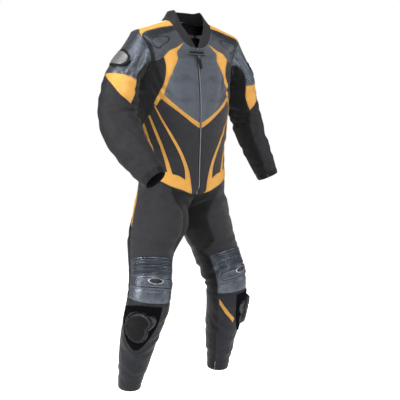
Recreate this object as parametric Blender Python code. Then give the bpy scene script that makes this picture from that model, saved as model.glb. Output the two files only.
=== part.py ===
"""One-piece racing suit of leather and stretch cloth, hollow, in the pose in which it is worn.

Units are metres, +Z is up and the front faces -Y. The wearer's left is +X. The origin is the point
between the shoulders, at the base of the neck, where the wearer's body carries the suit.

The suit is cut into panels. Two charts give every panel its form:
- the body chart, with "round" from 0 at the centre front (or the inseam of a leg) over 0.5 at the
  outer side to 1 at the centre back, and "run" up the body from the hem to the neck;
- the sleeve chart, with "round" from 0 at the outer side over 0.25 at the front to 0.5 at the
  inner side, and "run" down the arm from the armhole to the cuff.
Seams are curves between named places on a chart. Neighbours share a seam's points, so their edges
follow each other and stay one seam gap apart.
"""

import math

import bpy
import numpy as np
from mathutils import Vector
from mathutils.geometry import delaunay_2d_cdt

# Driving sizes
HOLD_HEIGHT = 1.50          # height of the holding point above the ground when worn
WALL = 0.0024               # leather and its lining
SEAM_GAP = 0.0003
CROTCH = 0.762              # run where the legs join
HIP = 0.920                 # run where the legs' rounding has blended into the trunk
NECK = 1.540                # run of the neck seam
CUFF = 0.490                # run of a sleeve's end
RING_STEP = 0.009           # the shortest step along a small outline
RING_COUNT = 22             # and the fewest steps round it
MESH_STEP = 0.027           # length of a mesh edge across a panel
RUN_SCALE = 0.56            # meshes are this much coarser along a limb than round it
ROUND_LENGTH = {"body": 0.46, "sleeve": 0.40, "collar": 0.26}   # mean length of one unit of "round"
# True lengths along "run" where the chart is stretched: at the shoulders and the sleeve heads
RUN_LENGTH = {"body": ((0.0, 0.0), (1.44, 1.44), (1.54, 1.70)),
              "sleeve": ((0.0, 0.0), (0.095, 0.19), (0.49, 0.585)),
              "collar": ((0.0, 0.0), (1.0, 0.06))}
ZIP_WIDTH = 0.0070
ZIP_END = 0.905

# Sections of a leg: the centre, half the width and the depths before and behind the centre
LEG_COLUMNS = ("run", "centre_x", "centre_y", "half_width", "front", "back")
LEG_ROWS = (
    (0.170, 0.209, 0.054, 0.043, 0.044, 0.044),
    (0.200, 0.208, 0.048, 0.045, 0.046, 0.047),
    (0.280, 0.202, 0.028, 0.057, 0.056, 0.060),
    (0.360, 0.196, 0.006, 0.066, 0.064, 0.070),
    (0.440, 0.189, -0.018, 0.073, 0.074, 0.072),
    (0.500, 0.181, -0.034, 0.078, 0.082, 0.072),
    (0.560, 0.173, -0.038, 0.081, 0.086, 0.073),
    (0.620, 0.160, -0.024, 0.080, 0.084, 0.080),
    (0.680, 0.147, -0.006, 0.084, 0.088, 0.088),
    (0.720, 0.134, 0.003, 0.092, 0.096, 0.098),
    (0.762, 0.110, 0.006, 0.109, 0.106, 0.112),
    (0.920, 0.092, 0.006, 0.090, 0.112, 0.124),
)
HEM = LEG_ROWS[0][0]

# Sections of the trunk: half the width, where the front, side and back lie, and their heights
TRUNK_COLUMNS = ("run", "half_width", "front_y", "side_y", "back_y",
                 "front_z", "side_z", "back_z", "square")
TRUNK_ROWS = (
    (0.762, 0.216, -0.100, 0.006, 0.118, 0.762, 0.762, 0.762, 2.2),
    (0.840, 0.196, -0.104, 0.004, 0.128, 0.840, 0.840, 0.840, 2.3),
    (0.900, 0.180, -0.106, 0.002, 0.128, 0.900, 0.900, 0.900, 2.4),
    (0.960, 0.172, -0.108, 0.000, 0.120, 0.960, 0.960, 0.960, 2.4),
    (1.030, 0.170, -0.111, 0.000, 0.109, 1.030, 1.030, 1.030, 2.3),
    (1.100, 0.174, -0.115, 0.000, 0.104, 1.100, 1.100, 1.100, 2.3),
    (1.180, 0.181, -0.118, 0.000, 0.110, 1.175, 1.180, 1.180, 2.4),
    (1.260, 0.187, -0.118, -0.004, 0.118, 1.250, 1.260, 1.260, 2.5),
    (1.330, 0.190, -0.113, -0.012, 0.120, 1.308, 1.330, 1.330, 2.6),
    (1.390, 0.199, -0.107, -0.020, 0.114, 1.352, 1.394, 1.392, 2.6),
    (1.440, 0.212, -0.102, -0.028, 0.102, 1.386, 1.447, 1.446, 2.6),
    (1.480, 0.220, -0.098, -0.032, 0.088, 1.410, 1.490, 1.492, 2.5),
    (1.510, 0.162, -0.096, -0.028, 0.070, 1.423, 1.512, 1.522, 2.5),
    (1.540, 0.090, -0.094, -0.018, 0.050, 1.437, 1.536, 1.546, 2.9),
)

# The armhole on the body chart
ARMHOLE_FRONT = 0.335
ARMHOLE_BACK = 0.665
ARMHOLE_LOW = 1.325
ARMHOLE_MIDDLE = 1.412
ARMHOLE_HIGH = 1.486
SLEEVE_HEAD = 0.095         # run over which a sleeve turns from the armhole into its own section

# Sections of the sleeves, square to the arm: centre, half the width and half the depth
SLEEVE_COLUMNS = ("run", "centre_x", "centre_y", "centre_z", "half_width", "half_depth")
LEFT_SLEEVE_ROWS = (
    (0.00, 0.226, -0.022, 1.402, 0.030, 0.075),
    (0.09, 0.248, -0.022, 1.334, 0.053, 0.073),
    (0.17, 0.264, -0.018, 1.262, 0.059, 0.068),
    (0.25, 0.293, -0.012, 1.190, 0.061, 0.063),
    (0.32, 0.316, -0.018, 1.122, 0.058, 0.059),
    (0.40, 0.345, -0.034, 1.042, 0.051, 0.053),
    (0.49, 0.378, -0.052, 0.955, 0.042, 0.043),
)
RIGHT_SLEEVE_ROWS = (
    (0.00, 0.226, -0.022, 1.402, 0.030, 0.075),
    (0.09, 0.262, -0.020, 1.334, 0.060, 0.075),
    (0.17, 0.286, -0.028, 1.265, 0.067, 0.072),
    (0.25, 0.296, -0.042, 1.185, 0.074, 0.070),
    (0.32, 0.293, -0.080, 1.115, 0.069, 0.067),
    (0.40, 0.272, -0.140, 1.042, 0.056, 0.058),
    (0.49, 0.245, -0.200, 0.975, 0.041, 0.044),
)

# The stand-up collar: its height above the neck seam, and how far its top leans in and spreads
COLLAR_COLUMNS = ("round", "height", "lean", "spread")
COLLAR_ROWS = (
    (0.00, 0.044, 0.014, 0.022),
    (0.06, 0.052, 0.016, 0.012),
    (0.12, 0.050, 0.019, 0.004),
    (0.20, 0.042, 0.023, 0.000),
    (0.35, 0.038, 0.030, 0.000),
    (0.50, 0.040, 0.032, 0.000),
    (0.75, 0.036, 0.022, 0.000),
    (1.00, 0.034, 0.008, 0.000),
)

# The largest folds: troughs (depth below 0) and swells, as "length" along "turn" degrees from level
FOLD_COLUMNS = ("round", "run", "turn", "length", "breadth", "depth")
BODY_FOLDS = (
    (0.13, 0.855, 35.0, 0.070, 0.020, -0.006),
    (0.20, 0.800, 20.0, 0.060, 0.018, -0.005),
    (0.36, 0.905, -25.0, 0.080, 0.022, -0.005),
    (0.90, 0.790, 5.0, 0.090, 0.024, -0.008),
    (0.80, 0.740, -5.0, 0.080, 0.022, -0.006),
    (0.76, 0.575, 0.0, 0.070, 0.018, -0.009),
    (0.80, 0.530, 8.0, 0.060, 0.016, -0.006),
    (0.32, 1.325, 70.0, 0.070, 0.020, -0.005),
    (0.68, 1.330, 110.0, 0.080, 0.022, -0.006),
    (0.55, 1.065, 8.0, 0.080, 0.024, -0.006),
    (0.82, 1.060, -6.0, 0.100, 0.026, -0.007),
    (0.36, 0.300, 10.0, 0.050, 0.018, -0.003),
)
LEFT_SLEEVE_FOLDS = (
    (0.50, 0.200, 0.0, 0.050, 0.014, -0.012),
    (0.45, 0.245, 12.0, 0.050, 0.014, -0.005),
    (0.20, 0.045, 75.0, 0.050, 0.014, -0.006),
    (0.08, 0.060, 85.0, 0.050, 0.014, -0.004),
    (0.78, 0.060, 100.0, 0.060, 0.016, -0.006),
    (0.42, 0.120, 20.0, 0.050, 0.016, -0.006),
    (0.10, 0.330, -10.0, 0.050, 0.018, -0.003),
)
RIGHT_SLEEVE_FOLDS = (
    (0.45, 0.255, 0.0, 0.050, 0.018, -0.010),
    (0.38, 0.210, 15.0, 0.050, 0.016, -0.006),
    (0.20, 0.050, 75.0, 0.050, 0.014, -0.007),
    (0.10, 0.062, 85.0, 0.050, 0.014, -0.004),
    (0.78, 0.060, 100.0, 0.060, 0.016, -0.006),
    (0.42, 0.120, 20.0, 0.050, 0.016, -0.006),
    (0.15, 0.330, -15.0, 0.060, 0.018, -0.004),
)

# Named places on the charts, as (round, run)
BODY_PLACES = {
    "zip_top": (0.0, NECK),
    "flare_tip": (0.140, NECK),
    "yoke_front_neck": (0.345, NECK),
    "yoke_back_neck": (0.700, NECK),
    "back_neck": (1.0, NECK),
    "flare_corner": (0.203, 1.428),
    "flare_waist": (0.245, 1.273),
    "flare_joint": (0.275, 1.257),
    "flare_end_inner": (0.322, 1.229),
    "flare_end_outer": (0.346, 1.238),
    "v_top": (0.0, 1.171),
    "v_tip": (0.0, 1.150),
    "side_meet": (0.655, 1.100),
    "back_hip": (0.655, 0.976),
    "seat_side": (0.755, 0.980),
    "seat_back": (1.0, 0.985),
    "zip_end": (0.0, ZIP_END),
    "flash_tip": (0.030, ZIP_END),
    "crotch_corner": (0.190, 0.934),
    "crotch_point": (0.0, CROTCH),
    "crotch_back": (1.0, CROTCH),
    "inseam_top": (0.0, 0.718),
    "inseam_top_back": (1.0, 0.718),
    "inner_tip": (0.070, 0.690),
    "inner_tip_back": (1.070, 0.690),
    "swoosh_tip": (0.530, 0.785),
    "ribs_inner": (0.095, 0.660),
    "ribs_inner_back": (1.095, 0.660),
    "ribs_outer": (0.520, 0.660),
    "cup_inner": (0.090, 0.562),
    "cup_inner_back": (1.090, 0.562),
    "cup_outer": (0.520, 0.562),
    "shin_inner": (0.080, 0.528),
    "shin_inner_back": (1.080, 0.528),
    "shin_outer": (0.520, 0.528),
    "hem_inner": (0.100, HEM),
    "hem_inner_back": (1.100, HEM),
    "hem_outer": (0.540, HEM),
}
SLEEVE_PLACES = {
    "upper_front": (0.306, 0.112),
    "upper_outer": (-0.050, 0.112),
    "upper_back": (-0.300, 0.112),
    "flash_tip": (0.288, 0.208),
    "cuff_front": (0.360, 0.468),
    "cuff_back": (-0.320, 0.468),
    "cuff_inner_back": (0.680, 0.468),
    "cuff_end": (0.360, CUFF),
    "cuff_end_next": (1.360, CUFF),
}

# Seams on the body chart: name, first place, places on the way, last place
BODY_SEAMS = (
    ("flare_inner", "flare_tip", ((0.107, 1.492), (0.098, 1.452), (0.147, 1.384), (0.203, 1.323)),
     "flare_waist"),
    ("flare_outer", "flare_tip", ((0.137, 1.486),), "flare_corner"),
    ("flare_bow", "flare_corner", ((0.200, 1.396), (0.210, 1.362), (0.240, 1.318), (0.286, 1.281)),
     "flare_end_outer"),
    ("flare_lower", "flare_joint", (), "flare_end_inner"),
    ("flare_foot", "flare_end_inner", (), "flare_end_outer"),
    ("v_upper", "flare_waist", ((0.125, 1.223),), "v_top"),
    ("v_root", "flare_waist", (), "flare_joint"),
    ("v_lower", "flare_joint", ((0.128, 1.207),), "v_tip"),
    ("chest_centre", "zip_top", (), "v_top"),
    ("v_centre", "v_top", (), "v_tip"),
    ("lower_centre", "v_tip", (), "zip_end"),
    ("side_waist", "flare_end_outer", ((0.412, 1.199), (0.500, 1.160), (0.582, 1.129)), "side_meet"),
    ("back_waist", "side_meet", ((0.640, 1.040),), "back_hip"),
    ("flash_foot", "zip_end", (), "flash_tip"),
    ("flash_inner", "flash_tip", ((0.110, 0.920),), "crotch_corner"),
    ("flash_outer", "crotch_corner", ((0.280, 0.951), (0.420, 0.966), (0.560, 0.973)), "back_hip"),
    ("seat_swoosh", "back_hip", (), "seat_side"),
    ("seat_seam", "seat_side", ((0.880, 0.984),), "seat_back"),
    ("crotch_side", "crotch_corner", ((0.186, 0.892), (0.158, 0.856), (0.163, 0.828),
                                      (0.187, 0.772), (0.172, 0.722), (0.120, 0.697)), "inner_tip"),
    ("crotch_tip", "inner_tip", ((0.035, 0.700),), "inseam_top"),
    ("inseam", "inseam_top", (), "crotch_point"),
    ("rise_front", "crotch_point", (), "zip_end"),
    ("rise_back", "seat_back", (), "crotch_back"),
    ("swoosh_front", "back_hip", ((0.578, 0.883),), "swoosh_tip"),
    ("swoosh_back", "seat_side", ((0.680, 0.890), (0.590, 0.820)), "swoosh_tip"),
    ("thigh_outer", "swoosh_tip", ((0.520, 0.720),), "ribs_outer"),
    ("thigh_inner", "inner_tip", (), "ribs_inner"),
    ("ribs_top", "ribs_inner", ((0.200, 0.660), (0.360, 0.658)), "ribs_outer"),
    ("ribs_side_inner", "ribs_inner", (), "cup_inner"),
    ("ribs_side_outer", "ribs_outer", (), "cup_outer"),
    ("cup_top", "cup_inner", ((0.300, 0.562),), "cup_outer"),
    ("cup_side_inner", "cup_inner", (), "shin_inner"),
    ("cup_side_outer", "cup_outer", (), "shin_outer"),
    ("cup_foot", "shin_inner", ((0.200, 0.530), (0.360, 0.529)), "shin_outer"),
    ("shin_inner", "shin_inner", ((0.095, 0.370),), "hem_inner"),
    ("shin_outer", "shin_outer", ((0.562, 0.470), (0.565, 0.370)), "hem_outer"),
    ("hem_front", "hem_inner", (), "hem_outer"),
    ("calf_top", "shin_outer", ((0.700, 0.524), (0.900, 0.524)), "shin_inner_back"),
    ("hem_back", "hem_outer", (), "hem_inner_back"),
)
SLEEVE_SEAMS = (
    ("inner_front_top", "arm_side_front", ((0.285, 0.050),), "upper_front"),
    ("upper_seam", "upper_front", ((0.150, 0.114),), "upper_outer"),
    ("upper_seam_back", "upper_outer", ((-0.180, 0.112),), "upper_back"),
    ("inner_back_top", "arm_side_back", ((-0.292, 0.050),), "upper_back"),
    ("flash_inner", "upper_front", ((0.316, 0.160),), "flash_tip"),
    ("flash_outer", "flash_tip", ((0.186, 0.186), (0.080, 0.150)), "upper_outer"),
    ("inner_front_low", "flash_tip", ((0.316, 0.260), (0.345, 0.380)), "cuff_front"),
    ("inner_back_low", "upper_back", ((-0.290, 0.250),), "cuff_back"),
    ("cuff_outer", "cuff_front", ((0.150, 0.468), (-0.100, 0.468)), "cuff_back"),
    ("cuff_inner", "cuff_front", (), "cuff_inner_back"),
    ("cuff_slit", "cuff_front", (), "cuff_end"),
    ("cuff_rim", "cuff_end", (), "cuff_end_next"),
)

# Round places on the armhole, as turns of the sleeve chart: 0 at the top, then forward
ARM_TURNS = {"arm_yoke_front": 0.125, "arm_side_front": 0.300, "arm_side_back": -0.300,
             "arm_yoke_back": -0.125}


def column(rows, columns, name, at):
    """Smooth curve through one column of a table of sections."""
    at = np.asarray(at, float)
    keys = np.array([row[0] for row in rows])
    values = np.array([row[columns.index(name)] for row in rows])
    slopes = np.gradient(values, keys)
    i = np.clip(np.searchsorted(keys, at, side="right") - 1, 0, len(keys) - 2)
    span = keys[i + 1] - keys[i]
    t = np.clip((at - keys[i]) / span, 0.0, 1.0)
    start = (2 * t ** 3 - 3 * t ** 2 + 1) * values[i] + (t ** 3 - 2 * t ** 2 + t) * span * slopes[i]
    end = (3 * t ** 2 - 2 * t ** 3) * values[i + 1] + (t ** 3 - t ** 2) * span * slopes[i + 1]
    return start + end


def ease(x):
    x = np.clip(x, 0.0, 1.0)
    return x * x * (3.0 - 2.0 * x)


def unit(v):
    return v / np.maximum(np.linalg.norm(v, axis=-1, keepdims=True), 1e-12)


def leg_point(turn, run):
    """Closed section of the leg, square to its axis below the crotch."""
    angle = 2.0 * math.pi * turn
    x = -column(LEG_ROWS, LEG_COLUMNS, "half_width", run) * np.cos(angle)
    swing = np.sin(angle)
    depth = np.where(swing > 0, column(LEG_ROWS, LEG_COLUMNS, "front", run),
                     column(LEG_ROWS, LEG_COLUMNS, "back", run))
    y = -depth * swing
    step = 0.01
    slopes = []
    for name in ("centre_x", "centre_y"):
        above = column(LEG_ROWS, LEG_COLUMNS, name, run + step)
        below = column(LEG_ROWS, LEG_COLUMNS, name, run - step)
        slopes.append((above - below) / (2 * step))
    square = ease((CROTCH - run) / 0.10)
    z = run - square * (slopes[0] * x + slopes[1] * y)
    centre_x = column(LEG_ROWS, LEG_COLUMNS, "centre_x", run)
    centre_y = column(LEG_ROWS, LEG_COLUMNS, "centre_y", run)
    return np.stack([centre_x + x, centre_y + y, z], -1)


def trunk_point(turn, run):
    """Half section of the trunk from the centre front to the centre back."""
    angle = math.pi * turn
    power = 2.0 / column(TRUNK_ROWS, TRUNK_COLUMNS, "square", run)
    s, c = np.sin(angle), np.cos(angle)
    x = column(TRUNK_ROWS, TRUNK_COLUMNS, "half_width", run) * np.sign(s) * np.abs(s) ** power
    side_y = column(TRUNK_ROWS, TRUNK_COLUMNS, "side_y", run)
    end_y = np.where(c > 0, column(TRUNK_ROWS, TRUNK_COLUMNS, "front_y", run),
                     column(TRUNK_ROWS, TRUNK_COLUMNS, "back_y", run))
    y = side_y + (end_y - side_y) * np.abs(c) ** power
    side_z = column(TRUNK_ROWS, TRUNK_COLUMNS, "side_z", run)
    end_z = np.where(c > 0, column(TRUNK_ROWS, TRUNK_COLUMNS, "front_z", run),
                     column(TRUNK_ROWS, TRUNK_COLUMNS, "back_z", run))
    return np.stack([x, y, end_z + (side_z - end_z) * s * s], -1)


def smooth_body(turn, run):
    """The trunk, blended into the legs: slowly at the front, quickly under the seat."""
    leg = leg_point(turn, np.minimum(run, HIP))
    trunk = trunk_point(turn, np.maximum(run, CROTCH))
    t = np.clip((run - CROTCH) / (HIP - CROTCH), 0.0, 1.0)
    front = t ** 1.6
    back = np.sqrt(np.clip(1.0 - (1.0 - t) ** 2, 0.0, 1.0))
    to_back = ease((turn - 0.25) / 0.5)
    share = front * (1.0 - to_back) + back * to_back
    return leg * (1.0 - share[..., None]) + trunk * share[..., None]


def armhole(turn):
    """The armhole's places on the body chart, by the sleeve's turn."""
    angle = 2.0 * math.pi * np.asarray(turn, float)
    c, s = np.cos(angle), np.sin(angle)
    reach = np.where(c > 0, ARMHOLE_HIGH - ARMHOLE_MIDDLE, ARMHOLE_MIDDLE - ARMHOLE_LOW)
    middle = (ARMHOLE_FRONT + ARMHOLE_BACK) / 2
    return middle - s * (ARMHOLE_BACK - ARMHOLE_FRONT) / 2, ARMHOLE_MIDDLE + reach * c


def smooth_sleeve(side, turn, run):
    """Sections square to the arm, which grow out of the armhole."""
    rows = LEFT_SLEEVE_ROWS if side > 0 else RIGHT_SLEEVE_ROWS
    names = ("centre_x", "centre_y", "centre_z")
    axis = np.stack([column(rows, SLEEVE_COLUMNS, n, run) for n in names], -1)
    step = 0.004
    after = np.stack([column(rows, SLEEVE_COLUMNS, n, np.minimum(run + step, CUFF)) for n in names], -1)
    before = np.stack([column(rows, SLEEVE_COLUMNS, n, np.maximum(run - step, 0.0)) for n in names], -1)
    along = unit(after - before)
    outward = np.zeros_like(along) + np.array([1.0, 0.0, 0.0])
    outward = unit(outward - (outward * along).sum(-1, keepdims=True) * along)
    forward = np.cross(outward, along)
    angle = 2.0 * math.pi * turn
    wide = column(rows, SLEEVE_COLUMNS, "half_width", run) * np.cos(angle)
    deep = column(rows, SLEEVE_COLUMNS, "half_depth", run) * np.sin(angle)
    section = axis + outward * wide[..., None] - forward * deep[..., None]
    hole = form("body", 1, *armhole(turn))
    return hole + (section - hole) * ease(run / SLEEVE_HEAD)[..., None]


def smooth_collar(turn, rise):
    """The collar from the neck seam (rise 0) to its top edge (rise 1)."""
    front = np.where(turn > 1.0, 2.0 - turn, turn)
    base = form("body", 1, turn, np.full_like(turn, NECK))
    away = unit((base - np.array([0.0, -0.02, 0.0])) * np.array([1.0, 1.0, 0.0]))
    height = column(COLLAR_ROWS, COLLAR_COLUMNS, "height", front) * rise
    lean = column(COLLAR_ROWS, COLLAR_COLUMNS, "lean", front) * rise ** 0.8
    spread = column(COLLAR_ROWS, COLLAR_COLUMNS, "spread", front) * rise * np.where(turn > 1.0, -1.0, 1.0)
    return base + np.stack([spread, np.zeros_like(height), height], -1) - away * lean[..., None]


def fold_depth(chart, side, turn, run):
    """How far the largest folds lift a chart's surface."""
    if chart == "collar":
        return np.zeros_like(turn)
    rows = BODY_FOLDS
    if chart == "sleeve":
        rows = LEFT_SLEEVE_FOLDS if side > 0 else RIGHT_SLEEVE_FOLDS
    total = np.zeros_like(turn)
    for row in rows:
        fold = dict(zip(FOLD_COLUMNS, row))
        gap = turn - fold["round"]
        if chart == "sleeve":
            gap = (gap + 0.5) % 1.0 - 0.5
        else:
            gap = np.where(turn > 1.0, 2.0 - turn, turn) - fold["round"]
        x = gap * ROUND_LENGTH[chart]
        y = run - fold["run"]
        slant = math.radians(fold["turn"])
        along = x * math.cos(slant) + y * math.sin(slant)
        across = y * math.cos(slant) - x * math.sin(slant)
        total += fold["depth"] * np.exp(-(along / fold["length"]) ** 2 - (across / fold["breadth"]) ** 2)
    if chart == "sleeve":
        total *= ease(run / 0.03)
    return total


def smooth(chart, side, turn, run):
    if chart == "sleeve":
        return smooth_sleeve(side, turn, run)
    if chart == "collar":
        return smooth_collar(turn, run)
    return smooth_body(turn, run)


def slopes_normal(surface, turn, run):
    """Outward normal of a chart's surface, from small steps to either side."""
    step = 0.002
    low, high = np.maximum(run - step, 0.0), run + step
    round_step = surface(turn + step, run) - surface(turn - step, run)
    run_step = surface(turn, high) - surface(turn, low)
    return unit(np.cross(round_step, run_step))


def form(chart, side, turn, run):
    """A chart's surface with its folds, on the left side of the suit."""
    turn, run = np.broadcast_arrays(np.asarray(turn, float), np.asarray(run, float))

    def plain(t, r):
        return smooth(chart, side, t, r)

    depth = fold_depth(chart, side, turn, run)
    if not np.any(np.abs(depth) > 1e-5):
        return plain(turn, run)
    return plain(turn, run) + slopes_normal(plain, turn, run) * depth[..., None]


def place(chart, side, turn, run):
    """Points and normals in the part's frame."""
    turn, run = np.broadcast_arrays(np.asarray(turn, float), np.asarray(run, float))

    def folded(t, r):
        return form(chart, side, t, r)

    points = folded(turn, run) - np.array([0.0, 0.0, HOLD_HEIGHT])
    normals = slopes_normal(folded, turn, run)
    mirror = np.array([side, 1.0, 1.0])
    return points * mirror, normals * mirror


def flat(chart, chart_points):
    """Chart places on a plane with about the true proportions, in which the meshes are made."""
    chart_points = np.asarray(chart_points, float)
    keys, lengths = zip(*RUN_LENGTH[chart])
    height = np.interp(chart_points[..., 1], keys, lengths) * RUN_SCALE
    return np.stack([chart_points[..., 0] * ROUND_LENGTH[chart], height], -1)


def curve_points(control):
    """Smooth curve through chart places, as a dense line."""
    control = np.asarray(control, float)
    if len(control) == 2:
        return control[0] + (control[1] - control[0]) * np.linspace(0.0, 1.0, 33)[:, None]
    steps = np.linalg.norm(np.diff(control, axis=0) * [0.46, 1.0], axis=1)
    keys = np.concatenate([[0.0], np.cumsum(steps)])
    rows = [(k, p[0], p[1]) for k, p in zip(keys, control)]
    at = np.linspace(0.0, keys[-1], 24 * len(control))
    names = ("key", "round", "run")
    return np.stack([column(rows, names, "round", at), column(rows, names, "run", at)], -1)


def even_samples(chart, line, step=MESH_STEP):
    """The line cut into even pieces of about one mesh step."""
    length = np.concatenate([[0.0], np.cumsum(np.linalg.norm(np.diff(flat(chart, line), axis=0), axis=1))])
    count = max(1, int(round(length[-1] / step)))
    at = np.linspace(0.0, length[-1], count + 1)
    return np.stack([np.interp(at, length, line[:, 0]), np.interp(at, length, line[:, 1])], -1)


class Seam:
    """The points of one seam, with their places and normals on each chart that it belongs to."""

    def __init__(self, side, charts):
        self.charts = charts
        found = {name: place(name, side, uv[:, 0], uv[:, 1]) for name, uv in charts.items()}
        self.points = found[next(iter(charts))][0]
        self.normals = {name: pair[1] for name, pair in found.items()}
        first = charts[next(iter(charts))]
        middle = (np.abs(first[:, 0] % 1.0) < 1e-9) & (first[:, 1] > CROTCH - 1e-9)
        if "sleeve" not in charts:
            self.points[middle, 0] = 0.0


def arm_seam(side, first, last):
    """A stretch of the armhole, on the body chart and the sleeve chart."""
    turns = np.linspace(first, last, 40)
    line = np.stack([turns, np.zeros_like(turns)], -1)
    turns = even_samples("sleeve", line)[:, 0]
    body = np.stack(armhole(turns), -1)
    return Seam(side, {"body": body, "sleeve": np.stack([turns, np.zeros_like(turns)], -1)})


def neck_seam(side, first, last):
    """A stretch of the neck seam, on the body chart and the collar chart."""
    line = np.stack([np.linspace(first, last, 40), np.full(40, NECK)], -1)
    turns = even_samples("body", line, 0.020)[:, 0]
    body = np.stack([turns, np.full_like(turns, NECK)], -1)
    return Seam(side, {"body": body, "collar": np.stack([turns, np.zeros_like(turns)], -1)})


def make_seams(side):
    """Every seam of one side of the suit, by name."""
    seams = {}
    for name, first, way, last in BODY_SEAMS:
        line = curve_points((BODY_PLACES[first], *way, BODY_PLACES[last]))
        seams["body " + name] = Seam(side, {"body": even_samples("body", line)})
    turns = ARM_TURNS
    arm_rows = (("arm_shoulder", "arm_yoke_front", "arm_side_front"),
                ("arm_yoke", "arm_yoke_back", "arm_yoke_front"),
                ("arm_back", "arm_side_back", "arm_yoke_back"))
    for name, first, last in arm_rows:
        seams[name] = arm_seam(side, turns[first], turns[last])
    seams["arm_under"] = arm_seam(side, turns["arm_side_front"], 1.0 + turns["arm_side_back"])
    neck_rows = (("neck_chest", "zip_top", "flare_tip"), ("neck_shoulder", "flare_tip", "yoke_front_neck"),
                 ("neck_yoke", "yoke_front_neck", "yoke_back_neck"),
                 ("neck_back", "yoke_back_neck", "back_neck"))
    for name, first, last in neck_rows:
        seams[name] = neck_seam(side, BODY_PLACES[first][0], BODY_PLACES[last][0])
    joining = (("shoulder_lower", BODY_PLACES["flare_corner"], ((0.262, 1.403),), turns["arm_side_front"]),
               ("yoke_front", BODY_PLACES["yoke_front_neck"], ((0.372, 1.520),), turns["arm_yoke_front"]),
               ("yoke_back", BODY_PLACES["yoke_back_neck"], ((0.640, 1.512),), turns["arm_yoke_back"]),
               ("side_back", BODY_PLACES["side_meet"], ((0.650, 1.230),), turns["arm_side_back"]))
    for name, first, way, turn in joining:
        line = curve_points((first, *way, tuple(float(v) for v in armhole(turn))))
        seams["body " + name] = Seam(side, {"body": even_samples("body", line)})
    places = dict(SLEEVE_PLACES)
    places["arm_side_front"] = (turns["arm_side_front"], 0.0)
    places["arm_side_back"] = (turns["arm_side_back"], 0.0)
    for name, first, way, last in SLEEVE_SEAMS:
        line = curve_points((places[first], *way, places[last]))
        seams["sleeve " + name] = Seam(side, {"sleeve": even_samples("sleeve", line)})
    return seams


def neighbours_normals(seams_of_sides):
    """One normal for every seam point, shared by all the pieces that meet there."""
    book = {}
    for side, seams in seams_of_sides.items():
        for seam in seams.values():
            for chart, normals in seam.normals.items():
                for point, normal in zip(seam.points, normals):
                    key = tuple(np.round(point, 6) + 0.0)
                    book.setdefault(key, {})[(chart, side)] = normal
    return {key: unit(sum(normals.values())) for key, normals in book.items()}


def inside(polygon, points):
    """Which points lie inside a flat polygon."""
    x, y = points[:, 0:1], points[:, 1:2]
    a, b = polygon, np.roll(polygon, -1, axis=0)
    spans = (a[:, 1] > y) != (b[:, 1] > y)
    rise = np.where(np.abs(b[:, 1] - a[:, 1]) < 1e-12, 1e-12, b[:, 1] - a[:, 1])
    crossing = a[:, 0] + (y - a[:, 1]) * (b[:, 0] - a[:, 0]) / rise
    return (np.sum(spans & (x < crossing), axis=1) % 2) == 1


def edge_distance(points, starts, ends):
    """Distance from each point to the nearest of some flat edges."""
    run = ends - starts
    t = np.sum((points[:, None] - starts) * run, -1) / np.maximum(np.sum(run * run, -1), 1e-12)
    nearest = starts + np.clip(t, 0.0, 1.0)[..., None] * run
    return np.linalg.norm(points[:, None] - nearest, axis=-1).min(axis=1)


def stagger(low, high, step):
    """Rows of points, every second row moved by half a step."""
    rows = np.arange(low[1] + 0.5 * step, high[1], step * 0.87)
    found = []
    for k, y in enumerate(rows):
        xs = np.arange(low[0] + (0.25 + 0.5 * (k % 2)) * step, high[0], step)
        found.append(np.stack([xs, np.full_like(xs, y)], -1))
    return np.concatenate(found) if found else np.zeros((0, 2))


def triangulate(rings, lines, free, keep):
    """Triangles over flat points, which follow the edges of closed rings and open lines."""
    points = []
    edges = []
    for row in rings:
        first = len(points)
        edges += [(first + k, first + (k + 1) % len(row)) for k in range(len(row))]
        points += list(row)
    for row in lines:
        first = len(points)
        edges += [(first + k, first + k + 1) for k in range(len(row) - 1)]
        points += list(row)
    points += list(free)
    flat_vectors = [Vector((float(p[0]), float(p[1]))) for p in points]
    result = delaunay_2d_cdt(flat_vectors, edges, [], 0, 1e-7)
    origin = [link[0] for link in result[3]]
    found = np.array([[origin[k] for k in face] for face in result[2]])
    points = np.array(points)
    corner = points[found]
    turn = np.cross(corner[:, 1] - corner[:, 0], corner[:, 2] - corner[:, 0])
    found[turn < 0] = found[turn < 0][:, ::-1]
    return found[keep(points[found].mean(axis=1)) & (np.abs(turn) > 1e-12)]


def closed_body(outer, inner, triangles, side=1):
    """Vertices and faces of the body between two skins."""
    directed = {}
    for a, b, c in triangles:
        for start, end in ((a, b), (b, c), (c, a)):
            directed[(start, end)] = True
    rim = [edge for edge in directed if (edge[1], edge[0]) not in directed]
    used = np.unique(triangles)
    number = {int(v): k for k, v in enumerate(used)}
    count = len(used)
    faces = []
    for a, b, c in triangles:
        a, b, c = number[int(a)], number[int(b)], number[int(c)]
        faces.append((a, b, c))
        faces.append((c + count, b + count, a + count))
    rank = outer[used] @ [0.0, 0.37, 1.0] + np.abs(outer[used][:, 0]) * 0.21
    for a, b in rim:
        a, b = number[int(a)], number[int(b)]
        if rank[b] > rank[a]:
            faces += [(b, a, a + count), (b, a + count, b + count)]
        else:
            faces += [(b, a, b + count), (a, a + count, b + count)]
    if side < 0:
        faces = [face[::-1] for face in faces]
    return np.concatenate([outer[used], inner[used]]), faces


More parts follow.
